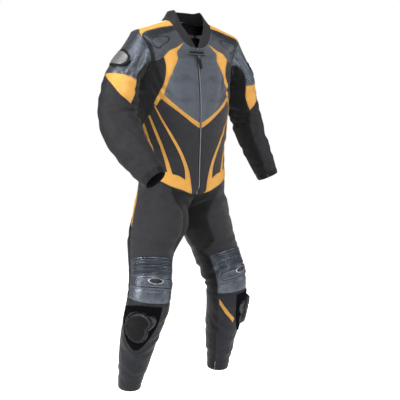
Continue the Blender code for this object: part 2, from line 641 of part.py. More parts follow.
class Panel:
    """A cut piece between seams: its flat mesh, its surface and its normals."""

    def __init__(self, side, chart, entries, seams, shared, rings=(), lines=(), free=(), wide=()):
        self.side, self.chart = side, chart
        pieces = []
        for entry in entries:
            seam, uv = seams[side][entry.strip(">~")], None
            if entry.startswith("~"):
                seam = seams[-side][entry.strip(">~")]
            uv = seam.charts[chart]
            if entry.startswith(">"):
                uv = uv + [1.0, 0.0]
            if entry.startswith("~"):
                uv = [2.0, 0.0] + uv * [-1.0, 1.0]
            pieces.append((uv, seam.points, seam.normals[chart], entry.strip(">~") in wide))
        loop = self.join(pieces)
        uv = np.array([row[0] for row in loop])
        points = np.array([row[1] for row in loop])
        own = np.array([row[2] for row in loop])
        gaps = np.array([ZIP_WIDTH / 2 + SEAM_GAP / 2 if row[3] else SEAM_GAP / 2 for row in loop])
        border = flat(chart, uv)
        area = np.sum(border[:, 0] * np.roll(border[:, 1], -1) - np.roll(border[:, 0], -1) * border[:, 1])
        if area < 0:
            uv, points, own, border = uv[::-1], points[::-1], own[::-1], border[::-1]
            gaps = np.roll(gaps[::-1], -1)
        rings_uv = [self.ring(strokes) for strokes in rings]
        ring_flats = [flat(chart, ring) for ring in rings_uv]
        all_rings = [border] + ring_flats
        starts = np.concatenate(all_rings)
        ends = np.concatenate([np.roll(ring, -1, axis=0) for ring in all_rings])
        grid = stagger(border.min(axis=0), border.max(axis=0), MESH_STEP)
        if len(grid):
            grid = grid[inside(border, grid)]
        if len(grid):
            grid = grid[edge_distance(grid, starts, ends) > 0.5 * MESH_STEP]
        set_points = [p for line in lines for p in line] + list(free)
        set_flat = flat(chart, np.asarray(set_points, float).reshape(-1, 2))
        if len(set_flat) and len(grid):
            near = np.linalg.norm(grid[:, None] - set_flat[None], axis=-1).min(axis=1)
            grid = grid[near > 0.6 * MESH_STEP]
        line_flats = [flat(chart, line) for line in lines]
        loose = np.concatenate([flat(chart, np.asarray(free, float).reshape(-1, 2)), grid])
        self.triangles = triangulate(all_rings, line_flats, loose, lambda centres: inside(border, centres))
        inner_flat = np.concatenate([*line_flats, loose])
        inner_uv = np.concatenate([*rings_uv, self.unflat(inner_flat)])
        self.uv = np.concatenate([uv, inner_uv])
        self.flat = flat(chart, self.uv)
        rest, rest_normals = place(chart, side, inner_uv[:, 0], inner_uv[:, 1])
        common = np.array([shared[tuple(np.round(p, 6) + 0.0)] for p in points])
        mitre = 1.0 / np.maximum(0.6, np.sum(common * own, axis=-1, keepdims=True))
        self.shift = self.inset(points, common, gaps)
        self.points = np.concatenate([points + self.shift, rest])
        self.normals = np.concatenate([own, rest_normals])
        self.depths = np.concatenate([common * mitre, rest_normals])
        self.border = len(points)

    def join(self, pieces):
        """The seams' rows in one closed loop, each turned to follow the one before."""
        end = pieces[0][0][-1]
        second = pieces[1][0]
        if min(np.abs(second[0] - end).max(), np.abs(second[-1] - end).max()) > 1e-6:
            pieces[0] = tuple(part[::-1] if i < 3 else part for i, part in enumerate(pieces[0]))
        rows = []
        end = pieces[0][0][0]
        for uv, points, normals, wide in pieces:
            if np.abs(uv[0] - end).max() > 1e-6:
                uv, points, normals = uv[::-1], points[::-1], normals[::-1]
            if np.abs(uv[0] - end).max() > 1e-6:
                raise ValueError("seams do not meet at %s, %s" % (end, uv[0]))
            rows += [(uv[k], points[k], normals[k], wide) for k in range(len(uv) - 1)]
            end = uv[-1]
        if np.abs(end - rows[0][0]).max() > 1e-6:
            raise ValueError("the loop is open at %s, %s" % (end, rows[0][0]))
        return rows

    def ring(self, strokes):
        """An outline drawn on the panel, from strokes that meet in corners."""
        lines = [curve_points(stroke) for stroke in strokes]
        steps = [np.linalg.norm(np.diff(flat(self.chart, line), axis=0), axis=1) for line in lines]
        step = min(max(float(sum(part.sum() for part in steps)) / RING_COUNT, RING_STEP), MESH_STEP)
        return np.concatenate([even_samples(self.chart, line, step)[:-1] for line in lines])

    def unflat(self, points):
        if not len(points):
            return np.zeros((0, 2))
        keys, lengths = zip(*RUN_LENGTH[self.chart])
        run = np.interp(points[:, 1] / RUN_SCALE, lengths, keys)
        return np.stack([points[:, 0] / ROUND_LENGTH[self.chart], run], -1)

    def inset(self, points, normals, gaps):
        """Moves of the border's points to the inside, by each edge's gap."""
        before = unit(points - np.roll(points, 1, axis=0))
        after = unit(np.roll(points, -1, axis=0) - points)
        first = unit(np.cross(normals, before)) * self.side
        second = unit(np.cross(normals, after)) * self.side
        gap_before, gap_after = np.roll(gaps, 1), gaps
        moves = np.zeros_like(points)
        for k in range(len(points)):
            m1, m2 = first[k], second[k]
            g1, g2 = gap_before[k], gap_after[k]
            c = float(np.dot(m1, m2))
            if 1.0 - c * c < 0.02 and c > 0:
                moves[k] = (m1 + m2) / (1.0 + c) * max(g1, g2)
                continue
            share = max(1.0 - c * c, 0.02)
            move = (m1 * (g1 - c * g2) + m2 * (g2 - c * g1)) / share
            limit = 1.2 * max(g1, g2) + 0.0006
            size = float(np.linalg.norm(move))
            moves[k] = move * min(1.0, limit / max(size, 1e-9))
        return moves

    def solid(self, relief=None):
        """The panel's body, with its outside raised where a relief is given."""
        outer = self.points.copy()
        if relief is not None:
            lift = relief(self.uv[self.border:, 0], self.uv[self.border:, 1])
            outer[self.border:] += self.normals[self.border:] * lift[:, None]
        inner = self.points - self.depths * WALL
        return closed_body(outer, inner, self.triangles, self.side)

    def within(self, strokes):
        outline = flat(self.chart, self.ring(strokes))
        centres = self.flat[self.triangles].mean(axis=1)
        return self.triangles[inside(outline, centres)]

    def overlay(self, strokes, bottom, top, relief=None):
        """A body that lies on the panel inside an outline, between two heights over its surface."""
        u, v = self.uv[:, 0], self.uv[:, 1]
        base = relief(u, v) if relief is not None else np.zeros_like(u)
        low = self.points + self.normals * (base + bottom(u, v))[:, None]
        high = self.points + self.normals * (base + top(u, v))[:, None]
        return closed_body(high, low, self.within(strokes), self.side)


def flat_body(outline, hole, low, high):
    """A plate between two heights, with one hole."""
    outline, hole = np.array(outline, float), np.array(hole, float)
    rings = [outline, hole] if len(hole) else [outline]

    def keep(centres):
        wanted = inside(outline, centres)
        if len(hole):
            wanted &= ~inside(hole, centres)
        return wanted

    triangles = triangulate(rings, (), (), keep)
    points = np.concatenate(rings)
    upper = np.column_stack([points, np.full(len(points), high)])
    lower = np.column_stack([points, np.full(len(points), low)])
    return closed_body(upper, lower, triangles)


# The pieces' surfaces: colour, roughness and how metallic they are
MATERIAL_COLUMNS = ("colour", "roughness", "metallic")
MATERIALS = {
    "grey_leather": ((0.115, 0.135, 0.160), 0.38, 0.25),
    "black_leather": ((0.022, 0.023, 0.026), 0.45, 0.0),
    "orange_leather": ((0.800, 0.360, 0.035), 0.45, 0.0),
    "charcoal_cloth": ((0.030, 0.031, 0.034), 0.85, 0.0),
    "black_stretch": ((0.014, 0.014, 0.016), 0.80, 0.0),
    "black_rubber": ((0.016, 0.016, 0.017), 0.55, 0.0),
    "slider_plastic": ((0.020, 0.020, 0.022), 0.35, 0.0),
    "brushed_plate": ((0.620, 0.620, 0.630), 0.32, 1.0),
    "zip_metal": ((0.180, 0.180, 0.190), 0.35, 1.0),
}


def material(name):
    found = bpy.data.materials.get(name)
    if found is None:
        colour, roughness, metallic = MATERIALS[name]
        found = bpy.data.materials.new(name)
        found.use_nodes = True
        shader = found.node_tree.nodes["Principled BSDF"]
        shader.inputs["Base Color"].default_value = (*colour, 1.0)
        shader.inputs["Roughness"].default_value = roughness
        shader.inputs["Metallic"].default_value = metallic
    return found


def add_node(name, body, material_name, origin=(0.0, 0.0, 0.0)):
    """One named object with its own surface."""
    points, faces = body
    mesh = bpy.data.meshes.new(name)
    moved = np.asarray(points) - np.asarray(origin)
    mesh.from_pydata([tuple(map(float, p)) for p in moved], [], [tuple(map(int, f)) for f in faces])
    mesh.validate()
    mesh.update()
    node = bpy.data.objects.new(name, mesh)
    node.location = origin
    node.data.materials.append(material(material_name))
    bpy.context.scene.collection.objects.link(node)
    return node


# Panels of one side: node, chart, material and the seams round them. ">" means one turn further
# round the chart.
SIDE_PANELS = (
    ("chest", "body", "grey_leather",
     ("neck_chest", "body flare_inner", "body v_upper", "body chest_centre")),
    ("v_stripe", "body", "orange_leather",
     ("body v_upper", "body v_centre", "body v_lower", "body v_root")),
    ("flare", "body", "orange_leather",
     ("body flare_inner", "body v_root", "body flare_lower", "body flare_foot", "body flare_bow",
      "body flare_outer")),
    ("stretch_side", "body", "charcoal_cloth",
     ("body flare_bow", "body side_waist", "body side_back", "arm_under", "body shoulder_lower")),
    ("front_lower", "body", "charcoal_cloth",
     ("body v_lower", "body lower_centre", "body flash_foot", "body flash_inner", "body flash_outer",
      "body back_waist", "body side_waist", "body flare_foot", "body flare_lower")),
    ("shoulder_front", "body", "black_leather",
     ("neck_shoulder", "body flare_outer", "body shoulder_lower", "arm_shoulder", "body yoke_front")),
    ("yoke", "body", "orange_leather",
     ("neck_yoke", "body yoke_front", "arm_yoke", "body yoke_back")),
    ("hip_side", "body", "orange_leather",
     ("body seat_swoosh", "body swoosh_front", "body swoosh_back")),
    ("crotch", "body", "black_stretch",
     ("body rise_front", "body flash_foot", "body flash_inner", "body crotch_side", "body crotch_tip",
      "body inseam")),
    ("thigh_front", "body", "charcoal_cloth",
     ("body flash_outer", "body swoosh_front", "body thigh_outer", "body ribs_top", "body thigh_inner",
      "body crotch_side")),
    ("thigh_back", "body", "black_leather",
     ("body seat_seam", "body rise_back", ">body inseam", ">body crotch_tip", ">body thigh_inner",
      ">body ribs_side_inner", ">body cup_side_inner", "body calf_top", "body cup_side_outer",
      "body ribs_side_outer", "body thigh_outer", "body swoosh_back")),
    ("knee_ribs", "body", "grey_leather",
     ("body ribs_top", "body ribs_side_outer", "body cup_top", "body ribs_side_inner")),
    ("knee_cup", "body", "grey_leather",
     ("body cup_top", "body cup_side_outer", "body cup_foot", "body cup_side_inner")),
    ("shin", "body", "black_leather",
     ("body cup_foot", "body shin_outer", "body hem_front", "body shin_inner")),
    ("calf", "body", "black_leather",
     ("body calf_top", "body shin_outer", "body hem_back", ">body shin_inner")),
    ("sleeve_upper", "sleeve", "grey_leather",
     ("arm_shoulder", "arm_yoke", "arm_back", "sleeve inner_back_top", "sleeve upper_seam_back",
      "sleeve upper_seam", "sleeve inner_front_top")),
    ("sleeve_flash", "sleeve", "orange_leather",
     ("sleeve upper_seam", "sleeve flash_inner", "sleeve flash_outer")),
    ("sleeve_outer", "sleeve", "black_leather",
     ("sleeve flash_outer", "sleeve inner_front_low", "sleeve cuff_outer", "sleeve inner_back_low",
      "sleeve upper_seam_back")),
    ("sleeve_inner", "sleeve", "black_stretch",
     ("arm_under", ">sleeve inner_back_top", ">sleeve inner_back_low", "sleeve cuff_inner",
      "sleeve inner_front_low", "sleeve flash_inner", "sleeve inner_front_top")),
    ("cuff", "sleeve", "black_leather",
     ("sleeve cuff_inner", ">sleeve cuff_outer", ">sleeve cuff_slit", "sleeve cuff_rim",
      "sleeve cuff_slit")),
)
ZIP_EDGES = ("body chest_centre", "body v_centre", "body lower_centre")

# Outlines of the pieces that lie on a panel, as strokes through chart places
CLAW = (
    ((0.326, 1.227), (0.190, 1.119), (0.108, 1.043), (0.065, 0.988), (0.038, 0.911)),
    ((0.038, 0.911), (0.110, 0.926), (0.190, 0.939), (0.280, 0.956), (0.420, 0.971), (0.560, 0.978),
     (0.640, 0.981)),
    ((0.640, 0.981), (0.632, 1.010)),
    ((0.632, 1.010), (0.500, 1.010), (0.378, 1.012)),
    ((0.378, 1.012), (0.392, 1.042), (0.434, 1.098), (0.488, 1.157)),
    ((0.488, 1.157), (0.466, 1.167)),
    ((0.466, 1.167), (0.406, 1.106), (0.361, 1.050), (0.322, 1.004)),
    ((0.322, 1.004), (0.280, 0.994), (0.240, 0.992)),
    ((0.240, 0.992), (0.277, 1.048), (0.339, 1.121), (0.408, 1.192)),
    ((0.408, 1.192), (0.388, 1.196)),
    ((0.388, 1.196), (0.311, 1.121), (0.248, 1.048), (0.195, 0.984)),
    ((0.195, 0.984), (0.150, 0.979), (0.090, 0.962)),
    ((0.090, 0.962), (0.100, 1.000), (0.133, 1.043), (0.213, 1.118), (0.342, 1.231)),
    ((0.342, 1.231), (0.326, 1.227)),
)
KNEE_FLAP = (
    ((0.150, 0.592), (0.130, 0.588), (0.122, 0.580), (0.130, 0.572), (0.150, 0.568)),
    ((0.150, 0.568), (0.420, 0.567)),
    ((0.420, 0.567), (0.444, 0.570), (0.456, 0.578), (0.444, 0.587), (0.420, 0.591)),
    ((0.420, 0.591), (0.150, 0.592)),
)
SHIN_STRIPE = (
    ((0.096, 0.508), (0.234, 0.431)),
    ((0.234, 0.431), (0.226, 0.414)),
    ((0.226, 0.414), (0.096, 0.489)),
    ((0.096, 0.489), (0.096, 0.508)),
)
SHORT_SHIN_STRIPE = (
    ((0.096, 0.508), (0.144, 0.480)),
    ((0.144, 0.480), (0.144, 0.463)),
    ((0.144, 0.463), (0.096, 0.489)),
    ((0.096, 0.489), (0.096, 0.508)),
)
SLIDER_BASE = (
    ((0.235, 0.520), (0.400, 0.517), (0.532, 0.494)),
    ((0.532, 0.494), (0.524, 0.430), (0.440, 0.375), (0.355, 0.352), (0.280, 0.400), (0.240, 0.460),
     (0.235, 0.520)),
)
SLIDER_PUCK = (
    ((0.490, 0.456), (0.461, 0.482), (0.405, 0.498), (0.355, 0.500), (0.318, 0.492), (0.292, 0.496)),
    ((0.292, 0.496), (0.270, 0.488), (0.264, 0.470), (0.284, 0.452), (0.296, 0.440)),
    ((0.296, 0.440), (0.293, 0.420), (0.313, 0.399), (0.357, 0.389), (0.415, 0.395), (0.458, 0.418),
     (0.490, 0.456)),
)
PUCK_CENTRE = (0.390, 0.448)
PUCK_RADII = (0.096, 0.054)
LOBE_CENTRE = (0.284, 0.473)
LOBE_RADII = (0.022, 0.022)
PUCK_POINTS = tuple((PUCK_CENTRE[0] + r * PUCK_RADII[0] * math.cos(a),
                     PUCK_CENTRE[1] + r * PUCK_RADII[1] * math.sin(a))
                    for r, count in ((0.0, 1), (0.36, 6), (0.70, 12))
                    for a in (2 * math.pi * k / count for k in range(count)))
SHOULDER_RIM = (
    ((-0.064, 0.0762), (-0.056, 0.0808), (-0.010, 0.0858), (0.056, 0.0880), (0.112, 0.0858),
     (0.143, 0.0790), (0.149, 0.0722), (0.139, 0.0655), (0.092, 0.0602), (0.030, 0.0578),
     (-0.030, 0.0580), (-0.062, 0.0622), (-0.072, 0.0690), (-0.064, 0.0762)),
)
SHOULDER_PLATE = (
    ((-0.050, 0.0745), (-0.040, 0.0790), (0.010, 0.0823), (0.068, 0.0832), (0.112, 0.0797),
     (0.129, 0.0730), (0.120, 0.0672), (0.080, 0.0636), (0.030, 0.0618), (-0.020, 0.0621),
     (-0.047, 0.0655), (-0.055, 0.0700), (-0.050, 0.0745)),
)
PLATE_CENTRE = (0.040, 0.0728)
PLATE_RADII = (0.100, 0.0120)


# Accordion folds over the knee: where they run and how far they stand out
RIB_LOW = 0.5965
RIB_HIGH = 0.6560
RIB_PITCH = 0.0085
RIB_HEIGHT = 0.0042
RIB_ENDS = (0.110, 0.505)


def rib_relief(u, v):
    wave = 0.5 - 0.5 * np.cos(2 * math.pi * (v - RIB_LOW) / RIB_PITCH)
    across = ease((u - RIB_ENDS[0]) / 0.04) * ease((RIB_ENDS[1] - u) / 0.04)
    return np.where((v > RIB_LOW) & (v < RIB_HIGH), wave * RIB_HEIGHT * across, 0.0)


def rib_lines():
    """Rows of mesh points along the folds' tops and valleys."""
    count = int(round((RIB_HIGH - RIB_LOW) / (RIB_PITCH / 2)))
    across = np.linspace(RIB_ENDS[0], RIB_ENDS[1], 10)
    return [[(u, RIB_LOW + k * RIB_PITCH / 2) for u in across] for k in range(count + 1)]


def even(height):
    return lambda u, v: np.full_like(u, height)


CLAW_THICK = 0.0014
FLAP_THICK = 0.0024
BASE_THICK = 0.0030
PUCK_HEIGHT = 0.0190
PUCK_EDGE = 0.0070
RIM_THICK = 0.0030
PLATE_THICK = 0.0026


def puck_top(u, v):
    """The puck is highest in its middle and falls off towards a thick edge and a low lobe."""
    reach = np.hypot((u - PUCK_CENTRE[0]) / PUCK_RADII[0], (v - PUCK_CENTRE[1]) / PUCK_RADII[1])
    dome = np.clip(1.0 - reach ** 2, 0.0, 1.0) ** 0.7
    lobe = np.hypot((u - LOBE_CENTRE[0]) / LOBE_RADII[0], (v - LOBE_CENTRE[1]) / LOBE_RADII[1])
    dome = np.maximum(dome, 0.3 * np.clip(1.0 - lobe ** 2, 0.0, 1.0))
    return BASE_THICK + 2 * SEAM_GAP + PUCK_EDGE + (PUCK_HEIGHT - PUCK_EDGE) * dome


def plate_top(u, v):
    reach = np.hypot((u - PLATE_CENTRE[0]) / PLATE_RADII[0], (v - PLATE_CENTRE[1]) / PLATE_RADII[1])
    return RIM_THICK + 2 * SEAM_GAP + PLATE_THICK * (0.6 + 0.8 * np.clip(1.0 - reach ** 2, 0.0, 1.0))


def side_pieces(side, seams, shared):
    """All the pieces of one side."""
    end = "_left" if side > 0 else "_right"
    stripe_outline = SHIN_STRIPE if side > 0 else SHORT_SHIN_STRIPE
    drawn = {"front_lower": (CLAW,), "knee_ribs": (KNEE_FLAP,),
             "shin": (stripe_outline, SLIDER_BASE, SLIDER_PUCK),
             "sleeve_upper": (SHOULDER_RIM, SHOULDER_PLATE)}
    lines = {"knee_ribs": rib_lines()}
    free = {"shin": PUCK_POINTS}
    panels = {}
    for name, chart, surface, entries in SIDE_PANELS:
        panel = Panel(side, chart, entries, seams, shared, drawn.get(name, ()), lines.get(name, ()),
                      free.get(name, ()), ZIP_EDGES)
        panels[name] = panel
        relief = rib_relief if name == "knee_ribs" else None
        add_node(name + end, panel.solid(relief), surface)
    gap = even(SEAM_GAP)
    lower = panels["front_lower"]
    add_node("claw" + end, lower.overlay(CLAW, gap, even(SEAM_GAP + CLAW_THICK)), "orange_leather")
    ribs = panels["knee_ribs"]
    flap = ribs.overlay(KNEE_FLAP, gap, even(SEAM_GAP + FLAP_THICK), rib_relief)
    add_node("knee_flap" + end, flap, "grey_leather")
    shin = panels["shin"]
    stripe = shin.overlay(stripe_outline, gap, even(SEAM_GAP + CLAW_THICK))
    add_node("shin_stripe" + end, stripe, "orange_leather")
    base = shin.overlay(SLIDER_BASE, gap, even(SEAM_GAP + BASE_THICK))
    add_node("knee_slider_base" + end, base, "charcoal_cloth")
    puck = shin.overlay(SLIDER_PUCK, even(BASE_THICK + 2 * SEAM_GAP), puck_top)
    add_node("knee_slider_puck" + end, puck, "slider_plastic")
    upper = panels["sleeve_upper"]
    rim = upper.overlay(SHOULDER_RIM, gap, even(SEAM_GAP + RIM_THICK))
    add_node("shoulder_rim" + end, rim, "black_rubber")
    plate = upper.overlay(SHOULDER_PLATE, even(RIM_THICK + 2 * SEAM_GAP), plate_top)
    add_node("shoulder_plate" + end, plate, "brushed_plate")


def centre_pieces(seams, shared):
    """The back and the collar, which run across from side to side."""
    half = ("neck_back", "body yoke_back", "arm_back", "body side_back", "body back_waist",
            "body seat_swoosh", "body seat_seam")
    entries = half + tuple("~" + name for name in reversed(half))
    back = Panel(1, "body", entries, seams, shared)
    add_node("back", back.solid(), "black_leather")
    ring = ("neck_chest", "neck_shoulder", "neck_yoke", "neck_back")
    entries = ring + tuple("~" + name for name in reversed(ring))
    entries += ("collar end_right", "collar top", "collar end_left")
    ends = ("collar end_left", "collar end_right")
    collar = Panel(1, "collar", entries, seams, shared, wide=ends)
    add_node("collar", collar.solid(), "black_leather")


def collar_seams():
    """The free edges of the collar."""
    rows = (("collar end_left", ((0.0, 0.0), (0.0, 1.0))), ("collar top", ((0.0, 1.0), (2.0, 1.0))),
            ("collar end_right", ((2.0, 0.0), (2.0, 1.0))))
    found = {}
    for name, ends in rows:
        found[name] = Seam(1, {"collar": even_samples("collar", curve_points(ends))})
    return found


ZIP_PROUD = 0.0008
SLIDER_RUN = 1.466
SLIDER_HALF = (0.0045, 0.0060)
SLIDER_THICK = 0.0030
BRIDGE_HALF = (0.0015, 0.0044)
BRIDGE_RISE = 0.0044
BRIDGE_WALL = 0.0010
PULL_RISE = 0.0017           # the pull's axis lies this far over the slider's plate
PULL_OFFSET = 0.0014         # and this far below its middle
PULL_HALF = 0.0009
PULL_LEAN = 8.0              # degrees to the wearer's left
PULL_SLOT = (0.0022, 0.0066)
PULL_LOOP = 0.0042
PULL_TAB = (0.0062, 0.042)


def zip_strip():
    """The closed zip down the middle, between the front panels."""
    runs = np.linspace(ZIP_END + 0.001, NECK - 0.001, 22)
    centre, normal = place("body", 1, np.zeros_like(runs), runs)
    centre[:, 0] = 0.0
    normal = unit(normal * [0.0, 1.0, 1.0])
    half = ZIP_WIDTH / 2
    points = []
    for c, n in zip(centre, normal):
        for x, lift in ((-half, ZIP_PROUD), (half, ZIP_PROUD), (half, -WALL), (-half, -WALL)):
            points.append(c + n * lift + np.array([x, 0.0, 0.0]))
    last = len(points) - 4
    faces = [(3, 2, 1, 0), (last, last + 1, last + 2, last + 3)]
    for row in range(len(runs) - 1):
        for k in range(4):
            a, b = 4 * row + k, 4 * row + (k + 1) % 4
            faces.append((a, b, b + 4, a + 4))
    return np.array(points), faces


def slider_frame():
    """The slider's middle on the zip's outside, with its across, down and outward directions."""
    centre, normal = place("body", 1, 0.0, SLIDER_RUN)
    normal = unit(normal * [0.0, 1.0, 1.0])
    centre = centre * [0.0, 1.0, 1.0] + normal * (ZIP_PROUD + SEAM_GAP)
    down = np.cross(normal, [1.0, 0.0, 0.0])
    if down[2] > 0:
        down = -down
    lean = math.radians(PULL_LEAN)
    along = down * math.cos(lean) + np.array([1.0, 0.0, 0.0]) * math.sin(lean)
    across = np.cross(along, normal)
    return centre, across, along, normal


def framed(body, centre, across, along, normal):
    """A body drawn in its own axes, set into the part's frame."""
    points, faces = body
    axes = np.stack([across, along, normal])
    flip = np.linalg.det(axes) < 0
    if flip:
        faces = [face[::-1] for face in faces]
    return centre + points @ axes, faces


def slider_bridge():
    """The slider's bridge as a profile of down and outward places: its outline and its hollow."""
    sunk = SLIDER_THICK / 2
    top = SLIDER_THICK + BRIDGE_RISE
    reach, wall = BRIDGE_HALF[1], BRIDGE_WALL
    outline = ((-reach, sunk), (reach, sunk), (reach, top), (-reach, top))
    low = SLIDER_THICK - 0.0002
    hollow = ((-reach + wall, low), (reach - wall, low), (reach - wall, top - wall),
              (-reach + wall, top - wall))
    return outline, hollow


def joined(base, added):
    """The base with the added object made one with it."""
    modifier = base.modifiers.new("joined", "BOOLEAN")
    modifier.operation = "UNION"
    modifier.solver = "EXACT"
    modifier.object = added
    bpy.context.view_layer.objects.active = base
    bpy.ops.object.modifier_apply(modifier=modifier.name)
    bpy.data.objects.remove(added)


def zip_slider():
    centre, across, along, normal = slider_frame()
    wide, half = SLIDER_HALF
    corner = 0.0016
    plate = ((-wide, -half + corner), (-wide + corner, -half), (wide - corner, -half),
             (wide, -half + corner), (wide * 0.6, half), (-wide * 0.6, half))
    body = framed(flat_body(plate, (), 0.0, SLIDER_THICK), centre, across, along, normal)
    node = add_node("zip_slider", body, "zip_metal")
    outline, hollow = slider_bridge()
    points, faces = flat_body(outline, hollow, -BRIDGE_HALF[0], BRIDGE_HALF[0])
    turned = np.stack([points[:, 2], points[:, 0], points[:, 1]], -1)
    body = framed((turned, faces), centre, across, along, normal)
    joined(node, add_node("bridge", body, "zip_metal"))


def pull_axis():
    """Where the pull turns, and its resting directions."""
    centre, across, along, normal = slider_frame()
    return centre + normal * (SLIDER_THICK + PULL_RISE) + along * PULL_OFFSET, across, along, normal


def zip_pull():
    """The pull: a loop round the slider's bridge and a long tab, hung on the loop's top bar."""
    centre, across, along, normal = pull_axis()
    loop, tab = PULL_LOOP, PULL_TAB
    end = tab[1]
    outline = ((-loop, -PULL_HALF), (loop, -PULL_HALF), (loop, 0.0085), (tab[0], 0.0110),
               (tab[0], end - 0.004), (tab[0] - 0.003, end - 0.0006), (-tab[0] + 0.003, end - 0.0006),
               (-tab[0], end - 0.004), (-tab[0], 0.0110), (-loop, 0.0085))
    wide, far = PULL_SLOT
    slot = ((-wide, PULL_HALF), (wide, PULL_HALF), (wide, far), (-wide, far))
    body = framed(flat_body(outline, slot, -PULL_HALF, PULL_HALF), centre, across, along, normal)
    add_node("zip_pull", body, "zip_metal", tuple(float(v) for v in centre))


STRAP_ENDS = (-0.040, 0.026)
STRAP_RUNS = (1.478, 1.520)
STRAP_LIFT = 0.0014
STRAP_THICK = 0.0026


def strap_tab():
    """The strap across the top of the zip, a band that lies on the collar's foot."""
    across = np.linspace(STRAP_ENDS[0], STRAP_ENDS[1], 7)
    up = np.linspace(STRAP_RUNS[0], STRAP_RUNS[1], 3)
    u, v = np.meshgrid(across, up, indexing="ij")
    sign = np.where(u < 0, -1.0, 1.0)
    points, normals = place("body", 1, np.abs(u).ravel(), v.ravel())
    mirror = np.stack([sign.ravel(), np.ones(u.size), np.ones(u.size)], -1)
    points, normals = points * mirror, normals * mirror
    points[np.abs(u).ravel() < 1e-9, 0] = 0.0
    triangles = []
    for i in range(len(across) - 1):
        for j in range(len(up) - 1):
            a, b = i * len(up) + j, (i + 1) * len(up) + j
            triangles += [(a, b, b + 1), (a, b + 1, a + 1)]
    low = points + normals * STRAP_LIFT
    high = points + normals * (STRAP_LIFT + STRAP_THICK)
    add_node("strap_tab", closed_body(high, low, np.array(triangles)), "black_leather")


def clear_scene():
    for node in list(bpy.data.objects):
        bpy.data.objects.remove(node)


def main():
    clear_scene()
    seams = {1: make_seams(1), -1: make_seams(-1)}
    seams[1].update(collar_seams())
    shared = neighbours_normals(seams)
    side_pieces(1, seams, shared)
    side_pieces(-1, seams, shared)
    centre_pieces(seams, shared)
    add_node("zip", zip_strip(), "zip_metal")
    zip_slider()
    zip_pull()
    strap_tab()


main()
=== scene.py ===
"""Racing suit: sewn cloth panels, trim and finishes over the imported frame."""
import math
import bpy
import numpy as np
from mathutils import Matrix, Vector
from mathutils.geometry import delaunay_2d_cdt


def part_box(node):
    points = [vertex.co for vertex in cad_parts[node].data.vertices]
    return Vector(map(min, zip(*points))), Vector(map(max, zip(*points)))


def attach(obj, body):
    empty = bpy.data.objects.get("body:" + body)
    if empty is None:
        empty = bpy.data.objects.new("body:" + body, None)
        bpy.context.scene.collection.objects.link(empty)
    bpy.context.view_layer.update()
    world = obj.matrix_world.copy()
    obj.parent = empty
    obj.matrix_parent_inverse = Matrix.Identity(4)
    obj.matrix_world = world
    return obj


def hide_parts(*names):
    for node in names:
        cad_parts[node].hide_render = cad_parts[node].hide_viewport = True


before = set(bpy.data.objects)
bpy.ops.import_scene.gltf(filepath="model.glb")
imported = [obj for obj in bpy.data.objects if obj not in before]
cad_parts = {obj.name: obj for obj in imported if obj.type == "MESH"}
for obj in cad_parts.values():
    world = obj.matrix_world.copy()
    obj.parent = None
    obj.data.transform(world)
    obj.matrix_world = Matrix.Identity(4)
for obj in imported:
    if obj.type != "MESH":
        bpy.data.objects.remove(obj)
bpy.ops.object.select_all(action="DESELECT")
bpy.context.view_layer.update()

# Sizes in metres
HOLD_HEIGHT = 1.50          # the shoulders' height over the floor
CROTCH = 0.762
HIP = 0.920
NECK = 1.540
CUFF = 0.490
SEAM_GAP = 0.0003
ZIP_WIDTH = 0.007
ZIP_END = 0.905
CLOTH = 0.0021              # the shell's thickness with its lining
STEP = 0.0070               # the fine mesh's step
SEAM_STEP = 0.0060
EDGE_RING = 0.0026          # a ring of points follows each seam at this distance
ROUND_LENGTH = {"body": 0.46, "sleeve": 0.40, "collar": 0.26}
RUN_LENGTH = {"body": ((0.0, 0.0), (1.44, 1.44), (1.54, 1.70)),
              "sleeve": ((0.0, 0.0), (0.095, 0.19), (0.49, 0.585)),
              "collar": ((0.0, 0.0), (1.0, 0.06))}

# Sections of a leg: the centre, half the width and the depths before and behind the centre
LEG_COLUMNS = ("run", "centre_x", "centre_y", "half_width", "front", "back")
LEG_ROWS = (
    (0.170, 0.209, 0.054, 0.043, 0.044, 0.044),
    (0.200, 0.208, 0.048, 0.045, 0.046, 0.047),
    (0.280, 0.202, 0.028, 0.057, 0.056, 0.060),
    (0.360, 0.196, 0.006, 0.066, 0.064, 0.070),
    (0.440, 0.189, -0.018, 0.073, 0.074, 0.072),
    (0.500, 0.181, -0.034, 0.078, 0.082, 0.072),
    (0.560, 0.173, -0.038, 0.081, 0.086, 0.073),
    (0.620, 0.160, -0.024, 0.080, 0.084, 0.080),
    (0.680, 0.147, -0.006, 0.084, 0.088, 0.088),
    (0.720, 0.134, 0.003, 0.092, 0.096, 0.098),
    (0.762, 0.110, 0.006, 0.109, 0.106, 0.112),
    (0.920, 0.092, 0.006, 0.090, 0.112, 0.124),
)
HEM = LEG_ROWS[0][0]

